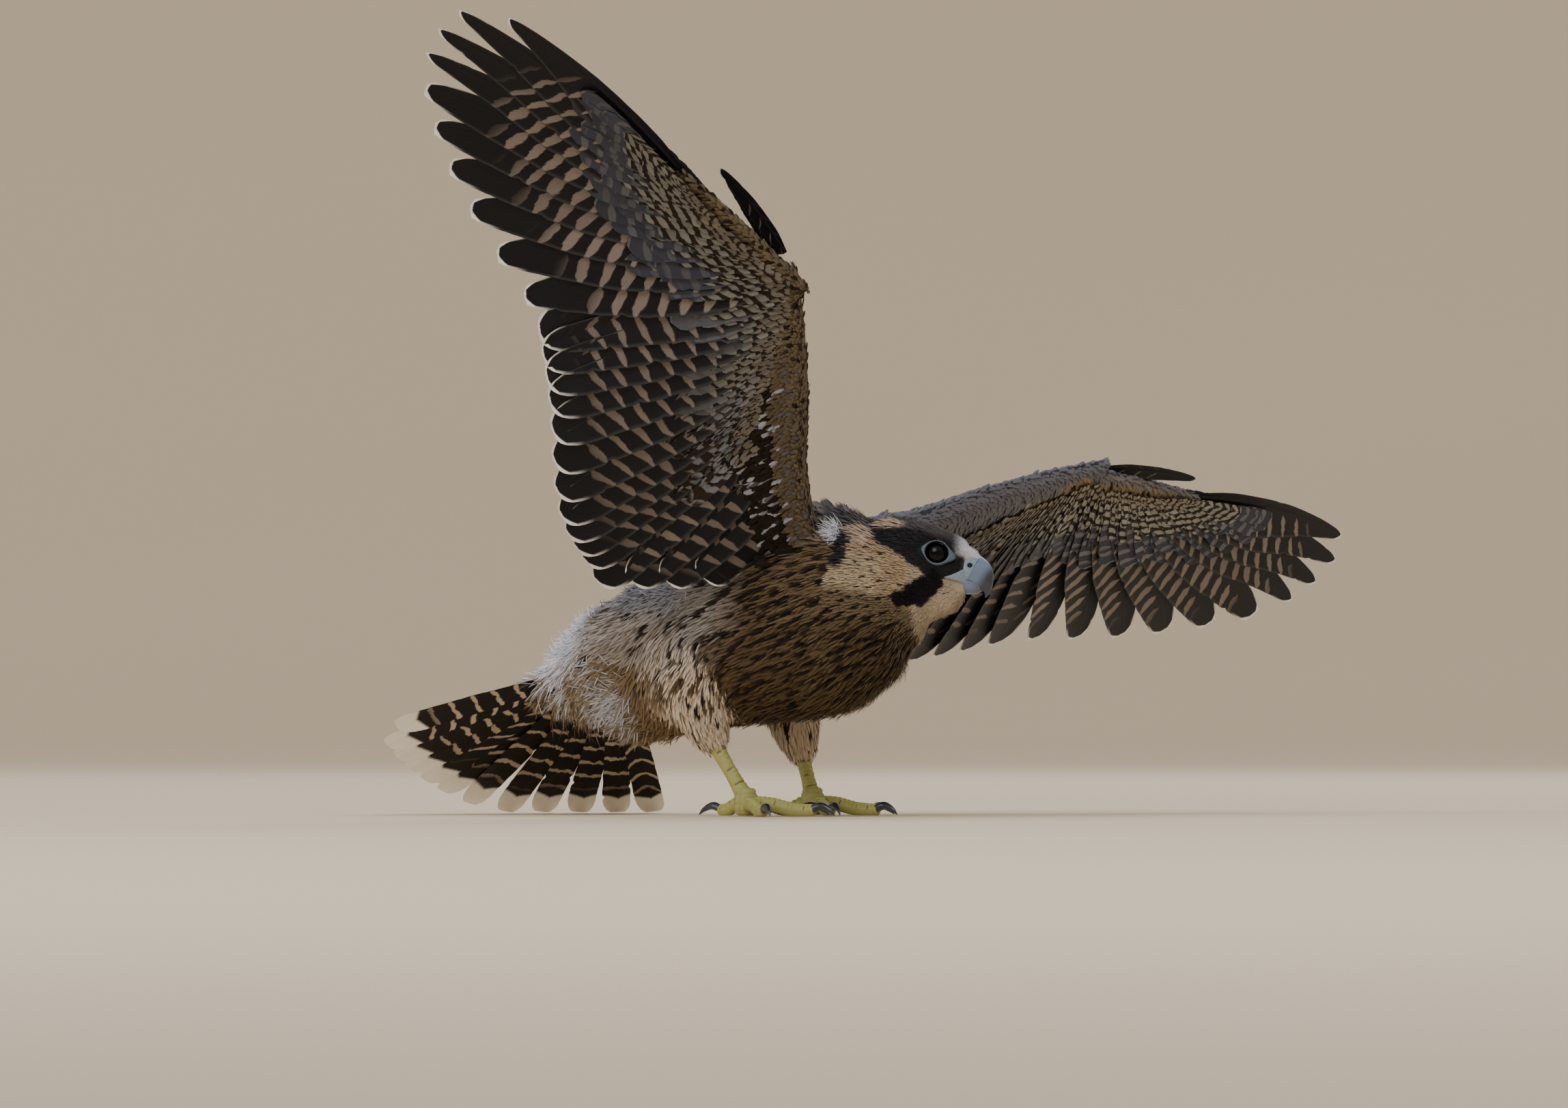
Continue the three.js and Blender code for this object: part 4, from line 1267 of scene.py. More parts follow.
    def ring(self, on_hand: bool, t: float, section: tuple) -> tuple:
        """The flesh at a share of the arm's length, or of the hand's.

        Args:
            on_hand: Whether the share is one of the hand's length.
            t: The share.
            section: Share of the chord and height of each point round the flesh.

        Returns:
            The points, and the direction to the trailing edge.
        """
        bend = min(1.0, 0.5 + 0.8 * max(0.0, t)) if on_hand else max(0.0, (t - 0.6) / 0.8)
        under = unit(mix(self.under_arm, self.under_hand, bend))
        trailing = unit(mix(self.arm_trail, self.hand_trail, bend))
        if on_hand:
            size = float(np.interp(t, *zip(*HAND_SIZES)))
            bone = mix(self.wrist, self.hand_end, t)
            before, behind, thick = (reach * size for reach in HAND_REACH)
            lead, trail = bone - trailing * before, bone + trailing * behind
        else:
            before, behind, thick = (float(np.interp(t, *zip(*row))) for row in ARM_REACH)
            before *= self.lead_share if t > 0.1 else 1
            lead = self.shoulder + (self.wrist - self.shoulder) * t - trailing * before
            trail = self.bone(t) + trailing * behind
        points = [mix(lead, trail, share) - under * height * thick for share, height in section]
        return np.array(points), trailing

    def flesh(self) -> list:
        """The arm and the hand as closed skins."""
        return [loft([self.ring(on_hand, t, FLESH_SECTION)[0] for t in np.linspace(first, last, count)])
                for on_hand, first, last, count in ((False, -0.22, 1.04, 26), (True, -0.12, 1.12, 20))]

    def guides(self) -> tuple:
        """Places on the flesh with the way that feathers lie there.

        Returns:
            Rows of place, direction, and [share of the chord, under or upper, place along the wing].
        """
        section = [(share, height * face.value) for share, height in GUIDE_SECTION for face in Face]
        places, ways, notes = [], [], []
        for on_hand in (False, True):
            for t in np.linspace(0.0 if on_hand else -0.15, 1.0, 30):
                ring, trailing = self.ring(on_hand, t, section)
                place = min(LAST_PLACE, max(9.5, 9.3 + (1 - t) * 2 * ARM_PLACES))
                outward = unit(mix(self.arm, self.hand, float(smooth(0.6, 0.95, t))))
                if on_hand:
                    place = min(9.4, max(0.0, (1 - t) * (FIRST_SECONDARY - 1) / HAND_SHARE))
                    outward = unit(mix(self.arm, self.hand, 1.0))
                down_feather = unit(self.run(place))
                for (share, height), point in zip(section, ring):
                    places.append(point)
                    back = unit(mix(trailing, down_feather, 0.25 + 0.55 * share))
                    ways.append(unit(mix(back, outward, 0.9 * max(0.0, 1 - share / 0.32))))
                    notes.append((share, -1.0 if height > 0 else 1.0, place))
        return np.array(places), np.array(ways), np.array(notes)


class CovertKind(Enum):
    """How a row of coverts is marked."""

    GREATER = 0
    MEDIAN = 1
    LESSER = 2


@dataclass(frozen=True)
class CovertRow:
    """A row of coverts over the flight feathers.

    Args:
        kind: How it is marked.
        reach: How far its tips lie behind the bones, as a share of the flight feather's length.
        further: How much further they reach on the hand.
        length: Root to tip.
        wide: Half its width.
        step: The gap between two, in flight feathers.
        root_lift: How high the root lies over the flight feathers.
        tip_lift: How high the tip lies.
    """

    kind: CovertKind
    reach: float
    further: float
    length: float
    wide: float
    step: float
    root_lift: float
    tip_lift: float


COVERT_ROWS = (
    CovertRow(CovertKind.GREATER, 0.44, 0.06, 42, 8.4, 0.8, 3.4, 2.6),
    CovertRow(CovertKind.GREATER, 0.35, 0.05, 34, 7.0, 0.66, 4.0, 3.2),
    CovertRow(CovertKind.MEDIAN, 0.27, 0.05, 26, 6.0, 0.58, 4.4, 3.7),
    CovertRow(CovertKind.MEDIAN, 0.2, 0.035, 22, 5.2, 0.52, 4.9, 4.2),
    CovertRow(CovertKind.MEDIAN, 0.135, 0.03, 18, 4.4, 0.46, 5.3, 4.6),
    CovertRow(CovertKind.LESSER, 0.08, 0.02, 15, 3.4, 0.36, 5.6, 5.0),
)
WINGS = (
    Wing(
        Side.RIGHT,
        shoulder=vec(24.4, -8.0, 155.2), elbow=vec(18.4, -63.2, 204.0),
        wrist=vec(57.9, -85.4, 277.2), hand_end=vec(45.1, -152.4, 326.3),
        under_arm=vec(0.67, -0.53, -0.52), under_hand=vec(0.23, -0.6, -0.76),
        spread=(
            (0, -36.6, -137.7, 92.8), (3, -85.6, -141.1, 79.6), (6, -108.9, -113.4, 40.9),
            (9.5, -92.3, -90.8, -16.3), (13, -79.4, -86.9, -36.0), (17, -77.3, -66.5, -68.3),
            (21, -69.0, -34.6, -72.7),
        ),
        outermost_shorter=23, lead_share=1,
        thumb=vec(3.9, -3.2, 15.2), alula_run=vec(-20.5, -30, 43.2),
    ),
    Wing(
        Side.LEFT,
        shoulder=vec(16.4, 55.9, 151.4), elbow=vec(24.8, 129.3, 147.4),
        wrist=vec(69.3, 195.9, 178.8), hand_end=vec(83.4, 278.4, 171.2),
        under_arm=vec(0.68, -0.12, -0.72), under_hand=vec(0.64, -0.18, -0.74),
        spread=(
            (0, 8.2, 168.6, -20.4), (3, -11.5, 165.9, -56.8), (6, -50.5, 127.3, -76.4),
            (9.5, -84.8, 66.4, -84.1), (13, -89.6, 14.3, -85.7), (17, -87.8, -17.7, -80.3),
            (21, -83.2, -34.0, -73.4),
        ),
        outermost_shorter=14, lead_share=1.6,
        thumb=vec(6, 10.4, 7.5), alula_run=vec(20.8, 61.2, -5.5),
    ),
)


# Guides: how feathers lie, and how deep they are, all over the flesh


class Region(Enum):
    """A stretch of the body whose feathers are of one kind."""

    TRUNK = 0
    HEAD = 1
    THIGH_RIGHT = 2
    THIGH_LEFT = 3
    WING_RIGHT = 4
    WING_LEFT = 5


LEGGED = {Region.THIGH_RIGHT: Side.RIGHT, Region.THIGH_LEFT: Side.LEFT}
WINGED = (Region.WING_RIGHT, Region.WING_LEFT)


class Guides:
    """Places all over the flesh, each with a direction, a depth and notes of its region."""

    def __init__(self) -> None:
        """Collects the guides of every region."""
        self.rows: list = []
        self._trunk()
        self._head()
        self._thighs()
        for region, wing in zip(WINGED, WINGS):
            places, ways, notes = wing.guides()
            self._add(region, places, ways, 1.5 * np.clip(0.35 + 3 * notes[:, 0], 0, 1), notes)
        self.places, self.ways, self.depths, self.notes, self.regions = (
            np.concatenate([row[k] for row in self.rows]) for k in range(5)
        )
        self.tree = tree_of(self.places)

    def _add(self, region: Region, places: Array, ways: Array, depths: Array, notes: Array) -> None:
        """Keeps a batch of guides."""
        self.rows.append((places, ways, depths, notes, np.full(len(places), region.value)))

    def _trunk(self) -> None:
        """Feathers on the trunk run to the tail and a little down on the sides."""
        rings, ways = TRUNK.rings(3, RING)
        turn = turns(RING)
        for k, (ring, way) in enumerate(zip(rings, ways)):
            along = k / (len(rings) - 1)
            lie = np.tile(-way, (RING, 1)) + np.outer(0.25 * np.cos(turn) ** 2 + 0.05, -UPWARD)
            depth = np.full(RING, 4.0 if along < 0.85 else 2.8)
            notes = np.stack([np.full(RING, along), np.sin(turn), np.cos(turn)], axis=1)
            self._add(Region.TRUNK, ring, unit(lie), depth, notes)

    def _head(self) -> None:
        """Feathers on the head run away from the bill, then back along the neck."""
        for ring in HEAD.rings(3, RING)[0]:
            self._add(Region.HEAD, ring, HEAD.lie(ring)[0], HEAD.depth(ring), HEAD.of(ring))

    def _thighs(self) -> None:
        """Feathers on the thighs run down the leg."""
        for region, side in LEGGED.items():
            rings, ways = THIGHS[side].rings(4, 18)
            for k, (ring, way) in enumerate(zip(rings, ways)):
                along = k / (len(rings) - 1)
                if along < 0.15:
                    continue
                count = len(ring)
                notes, depth = np.tile((along, 0.0, 0.0), (count, 1)), np.full(count, 3.2 - 1.6 * along)
                self._add(region, ring, np.tile(unit(way - UPWARD * 0.2), (count, 1)), depth, notes)

    def at(self, points: Array, near: int = 7) -> tuple:
        """Blends the guides round each point.

        Args:
            points: Places on the skin.
            near: How many guides to blend.

        Returns:
            Direction, depth, notes of the nearest guide and its region.
        """
        found = [self.tree.find_n(point, near) for point in points]
        rows = np.array([[entry[1] for entry in row] for row in found])
        weights = 1 / (np.array([[entry[2] for entry in row] for row in found]) + 2.0) ** 2
        weights = weights / weights.sum(axis=1, keepdims=True)
        ways = (self.ways[rows] * weights[:, :, None]).sum(axis=1)
        depths = (self.depths[rows] * weights).sum(axis=1)
        regions = self.regions[rows[:, 0]]
        lie, belongs = HEAD.lie(points)
        belongs = np.where(regions <= Region.HEAD.value, belongs, 0.0)
        ways = unit(ways) * (1 - belongs[:, None]) + lie * belongs[:, None]
        depths = depths * (1 - belongs) + HEAD.depth(points) * belongs
        regions = np.where(belongs > 0.5, Region.HEAD.value, regions)
        return unit(ways), depths, self.notes[rows[:, 0]], regions


# Eyes


@dataclass(frozen=True)
class Eye:
    """An eye in its socket, with the bare ring of lids round it."""

    side: Side
    forward: float = 19.2
    height: float = 4.2
    inset: float = 5.1
    radius: float = 6.55
    flat: float = 0.85
    slope: float = 0.2
    ring_front: float = 9.8
    ring_back: float = 8.3
    ring_top: float = 6.4
    ring_bottom: float = 6.8
    opening: float = 5.9
    rim: float = 0.8
    wrinkles: int = 26
    profile: tuple = (
        (0.0, -1.6), (0.0, -0.2), (0.1, 0.5), (0.3, 0.75), (0.5, 0.55), (0.75, 0.7), (1.0, 0.2), (1.0, -2.6),
    )

    @property
    def surface(self) -> float:
        """How far out the side of the head lies at the eye."""
        return HEAD.side(self.forward, self.height)

    def beside(self, x: Array, z: Array, out: Array) -> Array:
        """Places beside the eye: x and z from its middle, out from the side of the head."""
        x, z, out = np.broadcast_arrays(x, z, out)
        left = self.side.value * (self.surface + out - self.slope * x)
        return HEAD.on(np.stack([self.forward + x, left, self.height + z], axis=-1))

    def seen(self, points: Array) -> tuple:
        """Places in the bird's frame as x, z and out from the eye."""
        local = HEAD.of(points)
        x, z = local[:, 0] - self.forward, local[:, 2] - self.height
        return x, z, local[:, 1] * self.side.value - self.surface + self.slope * x

    def in_ring(self, points: Array, margin: float) -> Array:
        """How far inside the ring's outline each point lies: 1 at the middle, 0 at the outline."""
        x, z, out = self.seen(points)
        long = np.where(x > 0, self.ring_front, self.ring_back) + margin
        tall = np.where(z > 0, self.ring_top, self.ring_bottom) + margin
        tall = tall * (1 - 0.25 * np.clip(np.abs(x) / long, 0, 1))
        inside = 1 - np.sqrt((x / long) ** 2 + (z / tall) ** 2)
        return np.where(out > -9, inside, -1.0)

    def ball(self, finish: bpy.types.Material) -> None:
        """The eyeball, a little flatter than round."""
        rings, turn = [], turns(2 * RING)
        for angle in np.linspace(-88, 88, 34):
            up, wide = math.sin(math.radians(angle)), math.cos(math.radians(angle))
            x, z = self.radius * wide * np.cos(turn), self.radius * wide * np.sin(turn)
            rings.append(self.beside(x, z, self.radius * self.flat * up - self.inset))
        word = self.side.word
        hand_in(mesh_piece(f"eye_ball_{word}", *loft(rings), finish), "eye", f"eye_{word}")

    def lids(self, finish: bpy.types.Material) -> None:
        """The ring of bare skin: thin above, broad before and behind, finely wrinkled.

        Args:
            finish: Its finish.
        """
        turn = turns(4 * RING)
        cos, sin, folds = np.cos(turn), np.sin(turn), turn * self.wrinkles
        long = np.where(cos > 0, self.ring_front, self.ring_back)
        tall = np.where(sin > 0, self.ring_top, self.ring_bottom)
        outer_x = cos * (self.opening + self.rim + (long - self.opening - self.rim) * np.abs(cos) ** 8)
        inner_x, inner_z = cos * self.opening * 1.02, sin * self.opening * 0.98
        rings, lid_colours_with_painted_shade = [], []
        for share, out in self.profile:
            x, z = mix(inner_x, outer_x, share), mix(inner_z, sin * tall, share)
            swell = math.sin(math.pi * share)
            rings.append(self.beside(x, z, out + 0.14 * np.cos(folds + share * 5) * swell))
            # Painted shade: the inner lip that turns into the socket is darkened, and the skin along the
            # wrinkles' folds.
            tone = 1 - 0.75 * smooth(0.16, 0.0, share) - 0.1 * (1 + np.cos(folds)) * swell
            lid_colours_with_painted_shade.append(np.outer(tone, LID))
        word, ground = self.side.word, np.concatenate(lid_colours_with_painted_shade)
        points, faces = loft(rings, capped=False)
        skin = points, [face[::self.side.value] for face in faces]
        painted_piece(f"eye_ring_{word}", skin, finish, ground, "bare_skin", f"lid_{word}")


EYES = (Eye(Side.RIGHT), Eye(Side.LEFT))


# Markings


# A gap that stands for no drops at all, the widest gap that drops are laid at, and a depth in no drop.
NO_DROPS = 99.0
DROP_LIMIT = 40.0
OUTSIDE = -9.0


@dataclass
class Marks:
    """How the feathers at some places look. Every field has a row per place.

    Ground, fringe and edge are each feather's two colours and the strength of the second. The
    drops lie over many feathers: they have a tint, are apart by a gap, and have half a length,
    half a width and an arrow's bend.
    """

    ground: Array
    fringe: Array
    tint: Array
    edge: Array
    length: Array
    width: Array
    gap: Array
    fluff: Array
    apart: Array
    long: Array
    wide: Array
    arrow: Array

    @classmethod
    def even(cls, n: int, **values: object) -> "Marks":
        """The same marks at every place.

        Args:
            n: How many places.
            **values: Marks that differ from the usual ones.

        Returns:
            The marks.
        """
        usual = {
            "ground": BELLY_WITH_PAINTED_SHADE, "fringe": BUFF_WITH_PAINTED_SHADE, "tint": STREAK, "edge": 0.15, "length": 12.0, "width": 0.52,
            "gap": 0.84, "fluff": 0.0, "apart": 5.2, "long": 4.6, "wide": 1.35, "arrow": 0.0,
        }
        rows = {**usual, **values}
        return cls(**{name: np.tile(np.asarray(value, dtype=float), (n, 1) if np.ndim(value) else n)
                      for name, value in rows.items()})

    def picked(self, keep: Array) -> "Marks":
        """The marks at only some of the places."""
        return Marks(*(getattr(self, name)[keep] for name in self.__dataclass_fields__))

    def put(self, where: Array, part: "Marks") -> None:
        """Sets the marks at some of the places."""
        for name in self.__dataclass_fields__:
            getattr(self, name)[where] = getattr(part, name)

    def lay(self, share: Array, **changes: object) -> None:
        """Blends new values in by a share for each place."""
        for name, value in changes.items():
            old = getattr(self, name)
            s = share[:, None] if old.ndim == 2 else share
            setattr(self, name, old * (1 - s) + np.asarray(value) * s)


class Markings:
    """The young bird's colours, from the place on its body."""

    def __init__(self, rng: np.random.Generator) -> None:
        """Draws the soft clouds that vary the colours."""
        self.waves = rng.normal(size=(3, 8)) * np.linspace(0.05, 0.4, 8)
        self.phase = rng.random(8) * math.tau

    def cloud(self, points: Array) -> Array:
        """Soft noise from -1 to 1 over the body."""
        return np.sin(points @ self.waves + self.phase).mean(axis=1) * 2.2

    def at(self, points: Array, notes: Array, regions: Array) -> Marks:
        """Looks up every region's colours and sizes.

        Args:
            points: Places on the skin.
            notes: The guides' notes there.
            regions: The regions there.

        Returns:
            The marks.
        """
        marks = Marks.even(len(points))
        for region in Region:
            here = regions == region.value
            if region is Region.TRUNK:
                part = self._trunk(points[here], notes[here])
            elif region is Region.HEAD:
                part = self._head(points[here])
            elif region in LEGGED:
                part = self._thigh(notes[here])
            else:
                part = self._wing(notes[here], region is Region.WING_LEFT)
            marks.put(here, part)
        marks.ground = marks.ground * (1 + 0.13 * self.cloud(points)[:, None])
        return marks

    def _trunk(self, points: Array, notes: Array) -> Marks:
        """Breast, belly, flanks, vent, rump and mantle.

        Args:
            points: Places on the skin.
            notes: The trunk's guides: place along it, then how far up and how far to the side.

        Returns:
            The marks.
        """
        x, z, dorsal = points[:, 0], points[:, 2], notes[:, 1]
        cloud = self.cloud(points)
        marks = Marks.even(len(points))
        # The breast's buff carries painted shade of the lower side.
        marks.lay(smooth(15, 50, x), ground=BUFF_WITH_PAINTED_SHADE, long=3.9, wide=1.35, apart=5.0, length=10.5)
        side = smooth(-0.6, -0.25, dorsal)
        marks.lay(side * smooth(5, 35, x), ground=BUFF_WITH_PAINTED_SHADE * 1.5, long=3.3, wide=2.3, apart=7.2)
        marks.lay(side * smooth(15, -25, x), ground=FLANK * 0.5, long=4.4, wide=3.3, apart=7.0, arrow=0.5)
        marks.lay(side * smooth(-30, -60, x), ground=FLANK * 0.8, long=4.6, wide=4.0, apart=7.4,
                  tint=STREAK * 1.3)
        vent = smooth(-48, -66, x) * smooth(-0.15, -0.45, dorsal)
        marks.lay(vent, ground=VENT, apart=16.0, long=3.0, wide=0.8, arrow=0.0, fluff=0.3, length=20.0)
        pale = smooth(1.2, 0.6, np.hypot((x + 84) / 13, (z - 62) / 14))
        pale = np.maximum(pale, smooth(0.2, 0.6, cloud) * smooth(-85, -100, x) * smooth(0.0, -0.3, dorsal))
        marks.lay(pale * 0.8, ground=WHITE_DOWN * 0.6, fringe=WHITE_DOWN, apart=NO_DROPS, fluff=0.5,
                  length=16.0)
        marks.lay(smooth(0.4, 0.62, dorsal), ground=MANTLE, fringe=MANTLE_EDGE, apart=NO_DROPS, length=10.0)
        armpit = smooth(106, 116, z) * smooth(-92, -76, x) * smooth(-28, -44, x) * (points[:, 1] < 18)
        marks.lay(armpit, ground=GREY_DOWN, fringe=WHITE_DOWN, apart=NO_DROPS, fluff=0.7, length=13.0)
        rump = smooth(-98, -112, x) * smooth(-0.25, 0.1, dorsal)
        marks.lay(rump, ground=WHITE_DOWN, fringe=WHITE_DOWN, apart=NO_DROPS, fluff=1.0, length=15.0)
        f, out, u = HEAD.of(points).T
        tuft = smooth(1.2, 0.7, np.hypot((f + 33) / 8, (u - 1.5) / 5.5)) * (out < 0)
        marks.lay(tuft, ground=WHITE_DOWN * 0.85, fringe=WHITE_DOWN, apart=NO_DROPS, fluff=1.0, length=8.0,
                  width=0.3, gap=0.7)
        return marks

    @staticmethod
    def _thigh(notes: Array) -> Marks:
        """Pale trousers with narrow drops."""
        along = notes[:, 0]
        marks = Marks.even(len(notes), ground=TROUSERS, fringe=CREAM, length=10.0, apart=7.0, long=3.5,
                           wide=1.25)
        marks.lay(smooth(0.6, 1.0, along), apart=12.0, length=7.0, wide=0.7)
        marks.lay(smooth(0.4, 0.12, along), ground=FLANK * 0.75, long=4.2, wide=3.0, apart=7.6, arrow=0.5)
        return marks

    def _head(self, points: Array) -> Marks:
        """Dark cap and mask, pale forehead, buff cheek and nape patches, black moustache, pale throat.

        Args:
            points: Places on the skin.

        Returns:
            The marks.
        """
        f, out, u = HEAD.of(points).T
        out = np.abs(out)
        size = smooth(30, -16, f)
        marks = Marks.even(len(points), ground=CAP, fringe=CAP * 1.7, apart=NO_DROPS)
        marks.length = 2.4 + 4.6 * size
        marks.width = 0.22 + 0.22 * size
        marks.gap = 0.42 + 0.28 * size
        wobble = self.cloud(points * 1.7) * 1.1
        # Below the mask the head is pale.
        lower = smooth(1.2, -1.2, u - self._mask_floor(f) + wobble)
        marks.lay(lower, ground=CHEEK, fringe=CREAM, apart=6.5, long=1.5, wide=0.55)
        marks.lay(lower * smooth(-4, -12, u) * smooth(4, -10, f), ground=CREAM * 0.85, apart=5.5)
        marks.lay(lower * smooth(-24, -31, u), ground=BUFF_WITH_PAINTED_SHADE * 1.1, apart=5.0, long=2.6, wide=0.75)
        throat = smooth(8.5, 13, f + 0.33 * (u + 17)) * smooth(-4.0, -9.0, u)
        marks.lay(throat, ground=THROAT, fringe=CREAM, apart=14.0, long=1.6, wide=0.4)
        # The mask runs from the bill under the eye and back over the ear.
        mask = smooth(15.5, 11.5, u + wobble) * smooth(-1.0, 1.0, u - self._mask_floor(f) + wobble)
        mask = mask * smooth(-17, -12, f + wobble) * smooth(35.5, 33.5, f)
        marks.lay(mask, ground=MASK, fringe=MASK * 1.5, apart=NO_DROPS)
        line = smooth(6.6, 5.0, self._off_moustache(f, u) + wobble * 1.1)
        marks.lay(line, ground=MASK * 0.3, fringe=MASK * 0.3, apart=NO_DROPS)
        # Rufous patches on the nape and the crown.
        nape = self._patch(f, u, -18.5, 3.2, 7.5, 6.5) * smooth(6, 11, out)
        crown = self._patch(f, out, -5.4, 12.5, 8.0, 3.4) * smooth(10, 14, u)
        marks.lay(np.maximum(nape, crown), ground=RUFOUS, fringe=CREAM, apart=3.6, long=1.3, wide=0.7)
        # Pale forehead, pale brow and dark line behind the cheek.
        marks.lay(smooth(26, 33, f + 0.12 * (u - 8)) * smooth(4.5, 7.5, u), ground=WHITE_DOWN * 0.75,
                  fringe=WHITE_DOWN, apart=NO_DROPS)
        behind = smooth(-20.5, -22.5, f + wobble * 0.5) * smooth(-19, -15, u) * smooth(5, 1, u)
        marks.lay(behind, ground=MASK, fringe=CAP, apart=NO_DROPS)
        return marks

    @staticmethod
    def _mask_floor(f: Array) -> Array:
        """The height of the mask's lower edge along the head."""
        return np.interp(f, (-24, -12, 3, 10.5, 18, 27, 34), (3.0, 1.6, -1.2, -5.6, -9.0, -6.6, -3.5))

    @staticmethod
    def _off_moustache(f: Array, u: Array) -> Array:
        """The distance from the middle line of the moustache, in the plane of the head's side."""
        line = ((23.0, -8.0), (15.5, -18.5), (8.0, -28.0))
        gaps = []
        for (f0, u0), (f1, u1) in zip(line[:-1], line[1:]):
            ahead, rise = f1 - f0, u1 - u0
            share = np.clip(((f - f0) * ahead + (u - u0) * rise) / (ahead**2 + rise**2), 0, 1)
            gaps.append(np.hypot(f - f0 - share * ahead, u - u0 - share * rise))
        return np.minimum(*gaps) + 1.8 * smooth(-13, -7, u) + 3.6 * smooth(-22, -31, u)

    @staticmethod
    def _patch(a: Array, b: Array, a0: float, b0: float, long: float, tall: float) -> Array:
        """An oval patch with a soft edge."""
        return smooth(1.15, 0.75, np.hypot((a - a0) / long, (b - b0) / tall))

    @staticmethod
    def _wing(notes: Array, left: bool) -> Marks:
        """Small coverts: spotted buff below, scaly slate above.

        Args:
            notes: The wing's guides: share of the chord, face and place along the wing.
            left: Whether it is the left wing, whose slate part reaches round to the under side. The right
            wing's colours are darkened instead, as painted shade.

        Returns:
            The marks.
        """
        share, face, place = notes.T
        marks = Marks.even(len(notes), ground=LESSER, fringe=CREAM, apart=4.4, long=2.2, wide=1.0,
                           length=9.0, width=1.5, gap=1.5)
        marks.lay(smooth(0.7, 0.3, share), ground=LEADING, apart=4.4, long=2.1, wide=1.2, length=5.5,
                  width=1.0, gap=1.05)
        body = smooth(14.5, 17.5, place) * smooth(0.2, 0.5, share)
        marks.lay(body, ground=STREAK * 1.3, fringe=STREAK * 1.3, tint=COVERT_BAR * 1.9, apart=5.6, long=2.3,
                  wide=1.45)
        slate = smooth(0.3, -0.3, face)
        if left:
            arm = smooth(7.5, 22.0, place)
            slate = np.maximum(slate, smooth(0.06, -0.06, share - 0.12 - 0.75 * arm))
        else:
            # Painted shade: the right wing's lower side is darkened, as it lies in shade.
            marks.ground, marks.fringe = marks.ground * RIGHT_UNDER_PAINTED_SHADE, marks.fringe * RIGHT_UNDER_PAINTED_SHADE
        marks.lay(slate, ground=SLATE, fringe=SLATE_EDGE, edge=0.55, apart=NO_DROPS, fluff=0.0, length=4.4,
                  width=1.15, gap=1.2)
        return marks


class Spots:
    """Dark drops and arrows that lie over many feathers."""

    def __init__(self, places: Array, along: Array, side: Array, marks: Marks,
                 rng: np.random.Generator) -> None:
        """Keeps the middle, the lie and the size of each.

        Args:
            places: Their middles.
            along: Their long directions.
            side: The directions across them.
            marks: The marks at their middles.
            rng: Varies their sizes.
        """
        vary = (1 + 0.18 * rng.normal(size=(2, len(places)))).clip(0.55, 1.5)
        self.places, self.along, self.side = places, along, side
        self.long, self.wide = marks.long * vary[0], marks.wide * vary[1]
        self.arrow, self.tint, self.rng = marks.arrow, marks.tint, rng
        self.tree = tree_of(places)

    def over(self, points: Array) -> tuple:
        """How far each point lies in a drop, and the drop's colour.

        Args:
            points: Where feathers end.

        Returns:
            Shares from 0 to 1, and colours.
        """
        rows = np.array([[entry[1] for entry in self.tree.find_n(point, 4)] for point in points])
        ragged = self.rng.normal(0, 0.13, len(points))
        best = np.full(len(points), OUTSIDE)
        tint = np.zeros((len(points), 3))
        for row in rows.T:
            off = points - self.places[row]
            across = np.abs((off * self.side[row]).sum(axis=1)) / self.wide[row]
            down = (off * self.along[row]).sum(axis=1) / self.long[row] + self.arrow[row] * across
            inside = np.sqrt(np.clip(1 - down**2, 0, 1)) * (0.7 + 0.3 * down) - across + ragged
            inside = np.where(np.abs(down) < 1, inside, OUTSIDE)
            nearer = inside > best
            best = np.where(nearer, inside, best)
            tint[nearer] = self.tint[row][nearer]
        return smooth(-0.1, 0.12, best), tint


# Skin and coat


